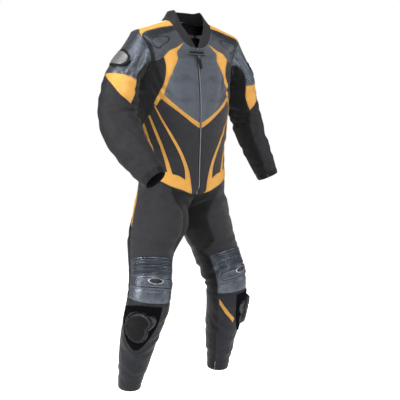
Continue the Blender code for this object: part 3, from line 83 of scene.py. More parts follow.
# Sections of the trunk: half the width, where the front, side and back lie, and their heights
TRUNK_COLUMNS = ("run", "half_width", "front_y", "side_y", "back_y",
                 "front_z", "side_z", "back_z", "square")
TRUNK_ROWS = (
    (0.762, 0.216, -0.100, 0.006, 0.118, 0.762, 0.762, 0.762, 2.2),
    (0.840, 0.196, -0.104, 0.004, 0.128, 0.840, 0.840, 0.840, 2.3),
    (0.900, 0.180, -0.106, 0.002, 0.128, 0.900, 0.900, 0.900, 2.4),
    (0.960, 0.172, -0.108, 0.000, 0.120, 0.960, 0.960, 0.960, 2.4),
    (1.030, 0.170, -0.111, 0.000, 0.109, 1.030, 1.030, 1.030, 2.3),
    (1.100, 0.174, -0.115, 0.000, 0.104, 1.100, 1.100, 1.100, 2.3),
    (1.180, 0.181, -0.118, 0.000, 0.110, 1.175, 1.180, 1.180, 2.4),
    (1.260, 0.187, -0.118, -0.004, 0.118, 1.250, 1.260, 1.260, 2.5),
    (1.330, 0.190, -0.113, -0.012, 0.120, 1.308, 1.330, 1.330, 2.6),
    (1.390, 0.199, -0.107, -0.020, 0.114, 1.352, 1.394, 1.392, 2.6),
    (1.440, 0.212, -0.102, -0.028, 0.102, 1.386, 1.447, 1.446, 2.6),
    (1.480, 0.220, -0.098, -0.032, 0.088, 1.410, 1.490, 1.492, 2.5),
    (1.510, 0.162, -0.096, -0.028, 0.070, 1.423, 1.512, 1.522, 2.5),
    (1.540, 0.090, -0.094, -0.018, 0.050, 1.437, 1.536, 1.546, 2.9),
)

# The armhole on the body chart
ARMHOLE_FRONT = 0.335
ARMHOLE_BACK = 0.665
ARMHOLE_LOW = 1.325
ARMHOLE_MIDDLE = 1.412
ARMHOLE_HIGH = 1.486
SLEEVE_HEAD = 0.095         # run over which a sleeve turns from the armhole into its own section

# Sections of the sleeves, square to the arm: centre, half the width and half the depth
SLEEVE_COLUMNS = ("run", "centre_x", "centre_y", "centre_z", "half_width", "half_depth")
LEFT_SLEEVE_ROWS = (
    (0.00, 0.226, -0.022, 1.402, 0.030, 0.075),
    (0.09, 0.248, -0.022, 1.334, 0.053, 0.073),
    (0.17, 0.264, -0.018, 1.262, 0.059, 0.068),
    (0.25, 0.293, -0.012, 1.190, 0.061, 0.063),
    (0.32, 0.316, -0.018, 1.122, 0.058, 0.059),
    (0.40, 0.345, -0.034, 1.042, 0.051, 0.053),
    (0.49, 0.378, -0.052, 0.955, 0.042, 0.043),
)
RIGHT_SLEEVE_ROWS = (
    (0.00, 0.226, -0.022, 1.402, 0.030, 0.075),
    (0.09, 0.262, -0.020, 1.334, 0.060, 0.075),
    (0.17, 0.286, -0.028, 1.265, 0.067, 0.072),
    (0.25, 0.296, -0.042, 1.185, 0.074, 0.070),
    (0.32, 0.293, -0.080, 1.115, 0.069, 0.067),
    (0.40, 0.272, -0.140, 1.042, 0.056, 0.058),
    (0.49, 0.245, -0.200, 0.975, 0.041, 0.044),
)

# The stand-up collar: its height above the neck seam, and how far its top leans in and spreads
COLLAR_COLUMNS = ("round", "height", "lean", "spread")
COLLAR_ROWS = (
    (0.00, 0.044, 0.014, 0.022),
    (0.06, 0.052, 0.016, 0.012),
    (0.12, 0.050, 0.019, 0.004),
    (0.20, 0.042, 0.023, 0.000),
    (0.35, 0.038, 0.030, 0.000),
    (0.50, 0.040, 0.032, 0.000),
    (0.75, 0.036, 0.022, 0.000),
    (1.00, 0.034, 0.008, 0.000),
)

# The largest folds: troughs (depth below 0) and swells. A fold is "length" long and lies "turn"
# degrees from level.
FOLD_COLUMNS = ("round", "run", "turn", "length", "breadth", "depth")
BODY_FOLDS = (
    (0.13, 0.855, 35.0, 0.070, 0.020, -0.006),
    (0.20, 0.800, 20.0, 0.060, 0.018, -0.005),
    (0.36, 0.905, -25.0, 0.080, 0.022, -0.005),
    (0.90, 0.790, 5.0, 0.090, 0.024, -0.008),
    (0.80, 0.740, -5.0, 0.080, 0.022, -0.006),
    (0.76, 0.575, 0.0, 0.070, 0.018, -0.009),
    (0.80, 0.530, 8.0, 0.060, 0.016, -0.006),
    (0.32, 1.325, 70.0, 0.070, 0.020, -0.005),
    (0.68, 1.330, 110.0, 0.080, 0.022, -0.006),
    (0.55, 1.065, 8.0, 0.080, 0.024, -0.006),
    (0.82, 1.060, -6.0, 0.100, 0.026, -0.007),
    (0.36, 0.300, 10.0, 0.050, 0.018, -0.003),
)
LEFT_SLEEVE_FOLDS = (
    (0.50, 0.200, 0.0, 0.050, 0.014, -0.012),
    (0.45, 0.245, 12.0, 0.050, 0.014, -0.005),
    (0.20, 0.045, 75.0, 0.050, 0.014, -0.006),
    (0.08, 0.060, 85.0, 0.050, 0.014, -0.004),
    (0.78, 0.060, 100.0, 0.060, 0.016, -0.006),
    (0.42, 0.120, 20.0, 0.050, 0.016, -0.006),
    (0.10, 0.330, -10.0, 0.050, 0.018, -0.003),
)
RIGHT_SLEEVE_FOLDS = (
    (0.45, 0.255, 0.0, 0.050, 0.018, -0.010),
    (0.38, 0.210, 15.0, 0.050, 0.016, -0.006),
    (0.20, 0.050, 75.0, 0.050, 0.014, -0.007),
    (0.10, 0.062, 85.0, 0.050, 0.014, -0.004),
    (0.78, 0.060, 100.0, 0.060, 0.016, -0.006),
    (0.42, 0.120, 20.0, 0.050, 0.016, -0.006),
    (0.15, 0.330, -15.0, 0.060, 0.018, -0.004),
)
FOLDS = {("body", 1): BODY_FOLDS, ("body", -1): BODY_FOLDS,
         ("sleeve", 1): LEFT_SLEEVE_FOLDS, ("sleeve", -1): RIGHT_SLEEVE_FOLDS}

# Named places on the charts, as (round, run)
BODY_PLACES = {
    "zip_top": (0.0, NECK),
    "flare_tip": (0.140, NECK),
    "yoke_front_neck": (0.345, NECK),
    "yoke_back_neck": (0.700, NECK),
    "back_neck": (1.0, NECK),
    "flare_corner": (0.203, 1.428),
    "flare_waist": (0.245, 1.273),
    "flare_joint": (0.275, 1.257),
    "flare_end_inner": (0.322, 1.229),
    "flare_end_outer": (0.346, 1.238),
    "v_top": (0.0, 1.171),
    "v_tip": (0.0, 1.150),
    "side_meet": (0.655, 1.100),
    "back_hip": (0.655, 0.976),
    "seat_side": (0.755, 0.980),
    "seat_back": (1.0, 0.985),
    "zip_end": (0.0, ZIP_END),
    "flash_tip": (0.030, ZIP_END),
    "crotch_corner": (0.190, 0.934),
    "crotch_point": (0.0, CROTCH),
    "crotch_back": (1.0, CROTCH),
    "inseam_top": (0.0, 0.718),
    "inner_tip": (0.070, 0.690),
    "swoosh_tip": (0.530, 0.785),
    "ribs_inner": (0.095, 0.660),
    "ribs_outer": (0.520, 0.660),
    "cup_inner": (0.090, 0.562),
    "cup_outer": (0.520, 0.562),
    "shin_inner": (0.080, 0.528),
    "shin_inner_back": (1.080, 0.528),
    "shin_outer": (0.520, 0.528),
    "hem_inner": (0.100, HEM),
    "hem_inner_back": (1.100, HEM),
    "hem_outer": (0.540, HEM),
}
SLEEVE_PLACES = {
    "upper_front": (0.306, 0.112),
    "upper_outer": (-0.050, 0.112),
    "upper_back": (-0.300, 0.112),
    "flash_tip": (0.288, 0.208),
    "cuff_front": (0.360, 0.468),
    "cuff_back": (-0.320, 0.468),
    "cuff_inner_back": (0.680, 0.468),
    "cuff_end": (0.360, CUFF),
    "cuff_end_next": (1.360, CUFF),
}

# Seams on the body chart: name, first place, places on the way, last place
BODY_SEAMS = (
    ("flare_inner", "flare_tip", ((0.107, 1.492), (0.098, 1.452), (0.147, 1.384), (0.203, 1.323)),
     "flare_waist"),
    ("flare_outer", "flare_tip", ((0.137, 1.486),), "flare_corner"),
    ("flare_bow", "flare_corner", ((0.200, 1.396), (0.210, 1.362), (0.240, 1.318), (0.286, 1.281)),
     "flare_end_outer"),
    ("flare_lower", "flare_joint", (), "flare_end_inner"),
    ("flare_foot", "flare_end_inner", (), "flare_end_outer"),
    ("v_upper", "flare_waist", ((0.125, 1.223),), "v_top"),
    ("v_root", "flare_waist", (), "flare_joint"),
    ("v_lower", "flare_joint", ((0.128, 1.207),), "v_tip"),
    ("chest_centre", "zip_top", (), "v_top"),
    ("v_centre", "v_top", (), "v_tip"),
    ("lower_centre", "v_tip", (), "zip_end"),
    ("side_waist", "flare_end_outer", ((0.412, 1.199), (0.500, 1.160), (0.582, 1.129)),
     "side_meet"),
    ("back_waist", "side_meet", ((0.640, 1.040),), "back_hip"),
    ("flash_foot", "zip_end", (), "flash_tip"),
    ("flash_inner", "flash_tip", ((0.110, 0.920),), "crotch_corner"),
    ("flash_outer", "crotch_corner", ((0.280, 0.951), (0.420, 0.966), (0.560, 0.973)), "back_hip"),
    ("seat_swoosh", "back_hip", (), "seat_side"),
    ("seat_seam", "seat_side", ((0.880, 0.984),), "seat_back"),
    ("crotch_side", "crotch_corner", ((0.186, 0.892), (0.158, 0.856), (0.163, 0.828),
                                      (0.187, 0.772), (0.172, 0.722), (0.120, 0.697)),
     "inner_tip"),
    ("crotch_tip", "inner_tip", ((0.035, 0.700),), "inseam_top"),
    ("inseam", "inseam_top", (), "crotch_point"),
    ("rise_front", "crotch_point", (), "zip_end"),
    ("rise_back", "seat_back", (), "crotch_back"),
    ("swoosh_front", "back_hip", ((0.578, 0.883),), "swoosh_tip"),
    ("swoosh_back", "seat_side", ((0.680, 0.890), (0.590, 0.820)), "swoosh_tip"),
    ("thigh_outer", "swoosh_tip", ((0.520, 0.720),), "ribs_outer"),
    ("thigh_inner", "inner_tip", (), "ribs_inner"),
    ("ribs_top", "ribs_inner", ((0.200, 0.660), (0.360, 0.658)), "ribs_outer"),
    ("ribs_side_inner", "ribs_inner", (), "cup_inner"),
    ("ribs_side_outer", "ribs_outer", (), "cup_outer"),
    ("cup_top", "cup_inner", ((0.300, 0.562),), "cup_outer"),
    ("cup_side_inner", "cup_inner", (), "shin_inner"),
    ("cup_side_outer", "cup_outer", (), "shin_outer"),
    ("cup_foot", "shin_inner", ((0.200, 0.530), (0.360, 0.529)), "shin_outer"),
    ("shin_inner", "shin_inner", ((0.095, 0.370),), "hem_inner"),
    ("shin_outer", "shin_outer", ((0.562, 0.470), (0.565, 0.370)), "hem_outer"),
    ("hem_front", "hem_inner", (), "hem_outer"),
    ("calf_top", "shin_outer", ((0.700, 0.524), (0.900, 0.524)), "shin_inner_back"),
    ("hem_back", "hem_outer", (), "hem_inner_back"),
)
SLEEVE_SEAMS = (
    ("inner_front_top", "arm_side_front", ((0.285, 0.050),), "upper_front"),
    ("upper_seam", "upper_front", ((0.150, 0.114),), "upper_outer"),
    ("upper_seam_back", "upper_outer", ((-0.180, 0.112),), "upper_back"),
    ("inner_back_top", "arm_side_back", ((-0.292, 0.050),), "upper_back"),
    ("flash_inner", "upper_front", ((0.316, 0.160),), "flash_tip"),
    ("flash_outer", "flash_tip", ((0.186, 0.186), (0.080, 0.150)), "upper_outer"),
    ("inner_front_low", "flash_tip", ((0.316, 0.260), (0.345, 0.380)), "cuff_front"),
    ("inner_back_low", "upper_back", ((-0.290, 0.250),), "cuff_back"),
    ("cuff_outer", "cuff_front", ((0.150, 0.468), (-0.100, 0.468)), "cuff_back"),
    ("cuff_inner", "cuff_front", (), "cuff_inner_back"),
    ("cuff_slit", "cuff_front", (), "cuff_end"),
    ("cuff_rim", "cuff_end", (), "cuff_end_next"),
)

# Round places on the armhole, as turns of the sleeve chart: 0 at the top, then forward
ARM_TURNS = {"arm_yoke_front": 0.125, "arm_side_front": 0.300, "arm_side_back": -0.300,
             "arm_yoke_back": -0.125}
ARM_SEAMS = (
    ("arm_shoulder", "arm_yoke_front", "arm_side_front"),
    ("arm_yoke", "arm_yoke_back", "arm_yoke_front"),
    ("arm_back", "arm_side_back", "arm_yoke_back"),
)
NECK_SEAMS = (
    ("neck_chest", "zip_top", "flare_tip"),
    ("neck_shoulder", "flare_tip", "yoke_front_neck"),
    ("neck_yoke", "yoke_front_neck", "yoke_back_neck"),
    ("neck_back", "yoke_back_neck", "back_neck"),
)
SEAMS_TO_ARMHOLE = (
    ("shoulder_lower", "flare_corner", ((0.262, 1.403),), "arm_side_front"),
    ("yoke_front", "yoke_front_neck", ((0.372, 1.520),), "arm_yoke_front"),
    ("yoke_back", "yoke_back_neck", ((0.640, 1.512),), "arm_yoke_back"),
    ("side_back", "side_meet", ((0.650, 1.230),), "arm_side_back"),
)
COLLAR_EDGES = (
    ("collar end_left", ((0.0, 0.0), (0.0, 1.0))),
    ("collar top", ((0.0, 1.0), (2.0, 1.0))),
    ("collar end_right", ((2.0, 0.0), (2.0, 1.0))),
)

# Panels of one side: node, chart, slot and the seams round them. ">" means one turn further
# round the chart, and "~" the same seam of the other side.
SIDE_PANELS = (
    ("chest", "body", "grey_leather",
     "neck_chest flare_inner v_upper chest_centre"),
    ("v_stripe", "body", "orange_leather",
     "v_upper v_centre v_lower v_root"),
    ("flare", "body", "orange_leather",
     "flare_inner v_root flare_lower flare_foot flare_bow flare_outer"),
    ("stretch_side", "body", "charcoal_cloth",
     "flare_bow side_waist side_back arm_under shoulder_lower"),
    ("front_lower", "body", "charcoal_cloth",
     "v_lower lower_centre flash_foot flash_inner flash_outer back_waist side_waist "
     "flare_foot flare_lower"),
    ("shoulder_front", "body", "black_leather",
     "neck_shoulder flare_outer shoulder_lower arm_shoulder yoke_front"),
    ("yoke", "body", "orange_leather",
     "neck_yoke yoke_front arm_yoke yoke_back"),
    ("hip_side", "body", "orange_leather",
     "seat_swoosh swoosh_front swoosh_back"),
    ("crotch", "body", "black_stretch",
     "rise_front flash_foot flash_inner crotch_side crotch_tip inseam"),
    ("thigh_front", "body", "charcoal_cloth",
     "flash_outer swoosh_front thigh_outer ribs_top thigh_inner crotch_side"),
    ("thigh_back", "body", "black_leather",
     "seat_seam rise_back >inseam >crotch_tip >thigh_inner >ribs_side_inner "
     ">cup_side_inner calf_top cup_side_outer ribs_side_outer thigh_outer swoosh_back"),
    ("knee_ribs", "body", "grey_leather",
     "ribs_top ribs_side_outer cup_top ribs_side_inner"),
    ("knee_cup", "body", "grey_leather",
     "cup_top cup_side_outer cup_foot cup_side_inner"),
    ("shin", "body", "black_leather",
     "cup_foot shin_outer hem_front shin_inner"),
    ("calf", "body", "black_leather",
     "calf_top shin_outer hem_back >shin_inner"),
    ("sleeve_upper", "sleeve", "grey_leather",
     "arm_shoulder arm_yoke arm_back inner_back_top upper_seam_back upper_seam "
     "inner_front_top"),
    ("sleeve_flash", "sleeve", "orange_leather",
     "upper_seam flash_inner flash_outer"),
    ("sleeve_outer", "sleeve", "black_leather",
     "flash_outer inner_front_low cuff_outer inner_back_low upper_seam_back"),
    ("sleeve_inner", "sleeve", "black_stretch",
     "arm_under >inner_back_top >inner_back_low cuff_inner inner_front_low "
     "flash_inner inner_front_top"),
    ("cuff", "sleeve", "black_leather",
     "cuff_inner >cuff_outer >cuff_slit cuff_rim cuff_slit"),
)
ZIP_EDGES = ("chest_centre", "v_centre", "lower_centre")

# Outlines of the pieces that lie on a panel, as strokes through chart places
CLAW = (
    ((0.326, 1.227), (0.190, 1.119), (0.108, 1.043), (0.065, 0.988), (0.038, 0.911)),
    ((0.038, 0.911), (0.110, 0.926), (0.190, 0.939), (0.280, 0.956), (0.420, 0.971),
     (0.560, 0.978), (0.640, 0.981)),
    ((0.640, 0.981), (0.632, 1.010)),
    ((0.632, 1.010), (0.500, 1.010), (0.378, 1.012)),
    ((0.378, 1.012), (0.392, 1.042), (0.434, 1.098), (0.488, 1.157)),
    ((0.488, 1.157), (0.466, 1.167)),
    ((0.466, 1.167), (0.406, 1.106), (0.361, 1.050), (0.322, 1.004)),
    ((0.322, 1.004), (0.280, 0.994), (0.240, 0.992)),
    ((0.240, 0.992), (0.277, 1.048), (0.339, 1.121), (0.408, 1.192)),
    ((0.408, 1.192), (0.388, 1.196)),
    ((0.388, 1.196), (0.311, 1.121), (0.248, 1.048), (0.195, 0.984)),
    ((0.195, 0.984), (0.150, 0.979), (0.090, 0.962)),
    ((0.090, 0.962), (0.100, 1.000), (0.133, 1.043), (0.213, 1.118), (0.342, 1.231)),
    ((0.342, 1.231), (0.326, 1.227)),
)
KNEE_FLAP = (
    ((0.150, 0.592), (0.130, 0.588), (0.122, 0.580), (0.130, 0.572), (0.150, 0.568)),
    ((0.150, 0.568), (0.420, 0.567)),
    ((0.420, 0.567), (0.444, 0.570), (0.456, 0.578), (0.444, 0.587), (0.420, 0.591)),
    ((0.420, 0.591), (0.150, 0.592)),
)
SHIN_STRIPE = (
    ((0.096, 0.508), (0.234, 0.431)),
    ((0.234, 0.431), (0.226, 0.414)),
    ((0.226, 0.414), (0.096, 0.489)),
    ((0.096, 0.489), (0.096, 0.508)),
)
SHORT_SHIN_STRIPE = (
    ((0.096, 0.508), (0.144, 0.480)),
    ((0.144, 0.480), (0.144, 0.463)),
    ((0.144, 0.463), (0.096, 0.489)),
    ((0.096, 0.489), (0.096, 0.508)),
)
SLIDER_PUCK = (
    ((0.490, 0.456), (0.461, 0.482), (0.405, 0.498), (0.355, 0.500), (0.318, 0.492),
     (0.292, 0.496)),
    ((0.292, 0.496), (0.270, 0.488), (0.264, 0.470), (0.284, 0.452), (0.296, 0.440)),
    ((0.296, 0.440), (0.293, 0.420), (0.313, 0.399), (0.357, 0.389), (0.415, 0.395),
     (0.458, 0.418), (0.490, 0.456)),
)
PUCK_SHELF = 0.0100
PUCK_CROWN = 0.0185
PUCK_FOOT = 0.0035          # the puck's back over the shin
BEAN = (                    # the crown's outline
    (0.480, 0.435), (0.462, 0.466), (0.427, 0.488), (0.382, 0.498), (0.337, 0.493), (0.307, 0.481),
    (0.303, 0.467), (0.315, 0.455), (0.312, 0.438), (0.315, 0.418), (0.337, 0.400), (0.377, 0.394),
    (0.417, 0.400), (0.460, 0.414),
)
RIB_LOW = 0.5965
RIB_HIGH = 0.6560
RIB_PITCH = 0.0047
RIB_HEIGHT = 0.0044
RIB_ENDS = (0.110, 0.505)

# Creases, given one by one: troughs (depth below 0) and swells over the charts, "length" along
# "turn" degrees from level, "bow" is how far a crease curves
CREASE_COLUMNS = ("round", "run", "turn", "length", "breadth", "depth", "bow")
BODY_CREASES = (
    (0.20, 1.345, 82.0, 0.060, 0.012, -0.0022, 0.10),
    (0.055, 1.36, 88.0, 0.070, 0.016, -0.0016, -0.05),
    (0.16, 1.255, 28.0, 0.040, 0.009, -0.0014, 0.10),
    (0.30, 1.330, 66.0, 0.055, 0.010, -0.0045, 0.20),
    (0.34, 1.290, 52.0, 0.060, 0.012, -0.0040, 0.15),
    (0.40, 1.255, 24.0, 0.050, 0.011, -0.0032, 0.12),
    (0.50, 1.225, 4.0, 0.060, 0.013, -0.0036, -0.10),
    (0.47, 1.285, 10.0, 0.045, 0.010, -0.0038, -0.20),
    (0.58, 1.270, -30.0, 0.055, 0.012, -0.0040, 0.15),
    (0.63, 1.310, -62.0, 0.055, 0.011, -0.0040, -0.20),
    (0.24, 1.150, 12.0, 0.050, 0.012, -0.0018, 0.08),
    (0.36, 1.080, -14.0, 0.060, 0.013, -0.0024, 0.10),
    (0.44, 1.020, 8.0, 0.055, 0.011, -0.0026, -0.12),
    (0.55, 1.100, 16.0, 0.060, 0.014, -0.0030, 0.10),
    (0.72, 1.120, -9.0, 0.070, 0.015, -0.0040, 0.12),
    (0.84, 1.085, 6.0, 0.080, 0.014, -0.0044, -0.10),
    (0.78, 1.180, -20.0, 0.060, 0.016, -0.0030, 0.10),
    (0.93, 1.150, 12.0, 0.060, 0.015, -0.0030, 0.05),
    (0.74, 1.360, 74.0, 0.070, 0.014, -0.0036, 0.15),
    (0.80, 1.300, 58.0, 0.060, 0.016, -0.0026, 0.10),
    (0.86, 1.430, 80.0, 0.060, 0.018, -0.0018, 0.05),
    (0.10, 0.905, 26.0, 0.045, 0.011, -0.0026, 0.15),
    (0.07, 0.860, 38.0, 0.050, 0.011, -0.0030, 0.15),
    (0.15, 0.875, 14.0, 0.050, 0.012, -0.0028, -0.10),
    (0.24, 0.900, -12.0, 0.055, 0.013, -0.0026, 0.15),
    (0.30, 0.865, -30.0, 0.060, 0.014, -0.0026, 0.10),
    (0.19, 0.820, 24.0, 0.060, 0.014, -0.0028, 0.10),
    (0.27, 0.780, 8.0, 0.055, 0.015, -0.0024, -0.10),
    (0.40, 0.815, -18.0, 0.060, 0.014, -0.0028, 0.12),
    (0.45, 0.750, 12.0, 0.050, 0.014, -0.0020, 0.10),
    (0.32, 0.720, -8.0, 0.050, 0.014, -0.0022, 0.10),
    (0.20, 0.705, 16.0, 0.050, 0.012, -0.0026, -0.15),
    (0.42, 0.690, 20.0, 0.045, 0.012, -0.0022, 0.10),
    (0.90, 0.900, 14.0, 0.060, 0.015, -0.0040, 0.12),
    (0.84, 0.850, 28.0, 0.060, 0.014, -0.0040, -0.10),
    (0.95, 0.830, 10.0, 0.050, 0.012, -0.0046, 0.10),
    (0.72, 0.870, 48.0, 0.060, 0.014, -0.0030, 0.12),
    (0.66, 0.760, 24.0, 0.055, 0.014, -0.0028, 0.10),
    (0.90, 0.700, -6.0, 0.060, 0.013, -0.0034, 0.10),
    (0.78, 0.670, 10.0, 0.060, 0.013, -0.0036, -0.12),
    (0.84, 0.625, -4.0, 0.060, 0.011, -0.0048, 0.14),
    (0.72, 0.602, 6.0, 0.050, 0.010, -0.0042, 0.10),
    (0.88, 0.575, 3.0, 0.055, 0.010, -0.0046, -0.12),
    (0.66, 0.560, 14.0, 0.045, 0.010, -0.0038, 0.10),
    (0.82, 0.540, -6.0, 0.055, 0.011, -0.0040, 0.10),
    (0.07, 0.600, 10.0, 0.030, 0.009, -0.0028, 0.10),
    (0.13, 0.478, -34.0, 0.040, 0.009, -0.0020, 0.12),
    (0.16, 0.405, -30.0, 0.045, 0.010, -0.0024, 0.15),
    (0.12, 0.375, -24.0, 0.040, 0.009, -0.0024, 0.12),
    (0.20, 0.345, -18.0, 0.040, 0.010, -0.0018, 0.10),
    (0.46, 0.330, 16.0, 0.040, 0.012, -0.0016, 0.10),
    (0.30, 0.240, 6.0, 0.050, 0.010, -0.0020, 0.10),
    (0.42, 0.215, -10.0, 0.045, 0.009, -0.0020, -0.10),
    (0.20, 0.225, -12.0, 0.040, 0.009, -0.0018, 0.10),
    (0.72, 0.420, 20.0, 0.050, 0.012, -0.0026, 0.10),
    (0.85, 0.350, -10.0, 0.050, 0.012, -0.0024, 0.10),
    (0.70, 0.280, 12.0, 0.050, 0.011, -0.0022, -0.10),
    (0.88, 0.240, 4.0, 0.050, 0.010, -0.0026, 0.10),
    (0.62, 0.220, -8.0, 0.045, 0.010, -0.0020, 0.10),
)
SLEEVE_CREASES = (
    (0.22, 0.060, 84.0, 0.045, 0.010, -0.0050, 0.10),
    (0.27, 0.085, 72.0, 0.045, 0.009, -0.0042, 0.12),
    (0.14, 0.070, 92.0, 0.045, 0.011, -0.0030, -0.08),
    (-0.20, 0.065, 96.0, 0.045, 0.012, -0.0036, 0.10),
    (0.38, 0.050, 40.0, 0.040, 0.009, -0.0050, 0.15),
    (0.52, 0.060, -6.0, 0.045, 0.009, -0.0050, 0.10),
    (0.64, 0.070, -44.0, 0.040, 0.010, -0.0040, -0.12),
    (0.45, 0.095, 14.0, 0.045, 0.010, -0.0040, 0.12),
    (0.05, 0.125, 4.0, 0.050, 0.012, -0.0016, 0.10),
    (0.22, 0.150, -16.0, 0.045, 0.011, -0.0022, 0.12),
    (-0.12, 0.160, 14.0, 0.050, 0.012, -0.0022, 0.10),
    (0.40, 0.165, 8.0, 0.045, 0.010, -0.0034, -0.12),
    (0.33, 0.215, 22.0, 0.045, 0.009, -0.0040, 0.15),
    (0.46, 0.228, -4.0, 0.045, 0.008, -0.0056, 0.10),
    (0.56, 0.206, -18.0, 0.040, 0.009, -0.0044, -0.12),
    (0.40, 0.262, -14.0, 0.045, 0.009, -0.0042, 0.12),
    (0.26, 0.246, -22.0, 0.040, 0.010, -0.0026, 0.12),
    (0.62, 0.262, 12.0, 0.040, 0.010, -0.0034, 0.10),
    (0.10, 0.230, 10.0, 0.045, 0.013, -0.0016, 0.08),
    (-0.10, 0.255, -12.0, 0.045, 0.013, -0.0022, 0.10),
    (0.22, 0.315, 62.0, 0.050, 0.011, -0.0024, 0.10),
    (0.08, 0.345, -16.0, 0.045, 0.012, -0.0020, 0.12),
    (-0.14, 0.345, 20.0, 0.045, 0.012, -0.0022, -0.10),
    (0.42, 0.335, 26.0, 0.045, 0.010, -0.0030, 0.12),
    (0.58, 0.360, -14.0, 0.045, 0.010, -0.0028, 0.10),
    (0.12, 0.405, 8.0, 0.040, 0.010, -0.0020, 0.10),
    (-0.18, 0.415, -8.0, 0.040, 0.010, -0.0022, 0.10),
    (0.44, 0.425, -10.0, 0.040, 0.009, -0.0026, -0.10),
    (0.30, 0.448, 4.0, 0.040, 0.008, -0.0018, 0.08),
)
LEFT_BODY_EXTRA = (
    (0.26, 1.30, 60.0, 0.050, 0.012, -0.0020, 0.10),
    (0.66, 0.905, 30.0, 0.050, 0.013, -0.0026, 0.12),
)
RIGHT_BODY_EXTRA = (
    (0.36, 0.930, -34.0, 0.060, 0.014, -0.0036, 0.12),
    (0.33, 0.890, -22.0, 0.060, 0.013, -0.0026, -0.10),
)
LEFT_SLEEVE_EXTRA = (
    (0.30, 0.300, 78.0, 0.060, 0.011, -0.0034, 0.08),
    (0.18, 0.200, 30.0, 0.040, 0.010, -0.0018, 0.10),
)
RIGHT_SLEEVE_EXTRA = (
    (0.34, 0.300, 50.0, 0.050, 0.010, -0.0034, 0.12),
    (0.05, 0.190, -20.0, 0.050, 0.012, -0.0018, 0.10),
)
CREASES = {("body", 1): BODY_CREASES + LEFT_BODY_EXTRA,
           ("body", -1): BODY_CREASES + RIGHT_BODY_EXTRA,
           ("sleeve", 1): SLEEVE_CREASES + LEFT_SLEEVE_EXTRA,
           ("sleeve", -1): SLEEVE_CREASES + RIGHT_SLEEVE_EXTRA}


# How a crease is shaped: a valley between two lips, along a slightly wavy line
CREASE_WAVE = 0.0016
CREASE_WAVE_RATE = 4.1
LIP_PLACE, LIP_BREADTH = 1.8, 0.85
LIP_HEIGHT, LIP_SLANT = 0.42, 0.16
CREASE_STRONG, CREASE_PLAIN = 1.7, 1.35
STRONG_BELOW = {"sleeve": 0.13, "body": 0.50}
# Creases and folds fade out over these lengths of the charts, towards the neighbouring charts
SLEEVE_FOLD_FADE, SLEEVE_CREASE_FADE = 0.030, 0.020
ARMHOLE_FADE, NECK_FADE, ZIP_FADE, BACK_FADE = 0.15, 0.020, 0.030, 0.040

# Sewn edges: how deep and how wide they roll in, and the pucker along them
EDGE_ROLL = 0.0013
EDGE_ROLL_WIDTH = 0.0032
FLAT_ROLL = 0.0003
PUCKER_SHARE, PUCKER_PITCH, PUCKER_RATE = 0.25, 0.021, 97.0
SHARP_EDGE = math.radians(55)
PUCK_SHARP_EDGE = math.radians(50)

# The mesh steps of single panels, and the knee panels' finer steps along the leg
FINE = {"knee_ribs": 0.0050, "knee_cup": 0.0050, "sleeve_inner": 0.0060, "sleeve_upper": 0.0060,
        "cuff": 0.0050, "collar": 0.0060, "back": 0.0085, "thigh_back": 0.0080, "calf": 0.0080}
SQUEEZE = {"knee_ribs": 4.0, "knee_cup": 1.5}
LAID_STEP = 0.006
PUCK_STEP = 0.0034
LAID_THICK = 0.0012
FLAP_THICK = 0.0024
LAID_GAP = 0.0004           # a laid piece's clearance over its carrier, beside the seam gap

# The panels whose finish isn't their slot's own
FINISH_OF = {"chest": "grey_pierced", "stretch_side": "side_stretch",
             "sleeve_outer": "matt_leather", "shoulder_front": "shoulder_hide",
             "shin": "shin_hide", "knee_ribs": "grey_folded", "knee_cup": "grey_smooth"}
GREY, GREY_DARK, GREY_THREAD = (0.125, 0.143, 0.173), (0.066, 0.076, 0.094), (0.20, 0.22, 0.26)
BLACK, BLACK_DARK = (0.008, 0.008, 0.010), (0.004, 0.004, 0.005)
BLACK_THREAD = (0.028, 0.028, 0.032)
DARK_PLASTIC = (0.012, 0.012, 0.014)

# Ovals on the cut pieces: the middle, and half the width and the length
BADGE_PLACE = ((0.1370, 0.5835), (0.0235, 0.0072))
SHIN_LINE = ((0.166, 0.430), (0.062, 0.089))
SHIN_LINE_TOP = 0.385       # the pressed line on the shin shows below this run
SHOULDER_PAD = ((0.1118, 1.557), (0.019, 0.075))
PLEAT_START = 0.133         # where the folded strip beside the armhole starts
PLEAT_PITCH = 0.0056
HOLE_PITCH = 0.0052         # two pierced holes of a row lie this far apart
STITCH_PITCH = 0.0034
STITCH_INSET = 0.0032
STRAP_STITCH_INSET = 0.0040
PUCK_STITCH_INSET = 0.0045
PUCK_STITCH_PITCH = 0.0040
TOOTH_PITCH = 0.0026
TEETH_HALF_WIDTH = 0.0019

# Light: softboxes as name, place, aim, size and power
AMBIENT = 0.24
FLOOR_GLOW = 0.80
FLOOR_SIZE = 16.0
SOFTBOXES = (
    ("left_box", (-2.5, 0.1, 0.2), (0.0, 0.0, -0.6), (0.45, 2.6), 50.0),
    ("front_box", (-1.0, -2.7, 1.2), (0.0, 0.0, -0.6), (0.7, 1.6), 56.0),
    ("right_box", (2.4, -1.6, 0.2), (0.0, 0.0, -0.6), (0.4, 2.4), 20.0),
    ("rear_box", (1.2, 2.6, 0.8), (0.0, 0.0, -0.5), (0.8, 2.2), 40.0),
    ("top_box", (-0.3, -0.4, 2.2), (0.0, 0.0, -0.3), (1.0, 1.0), 24.0),
)
LENS = 64.26
SENSOR = 36.0
LENS_SHIFT = 0.0435
CAMERA_PLACE = (-1.510, -2.238, -0.340)
CAMERA_TILT = math.radians(84)
CAMERA_TURN = math.radians(-34)


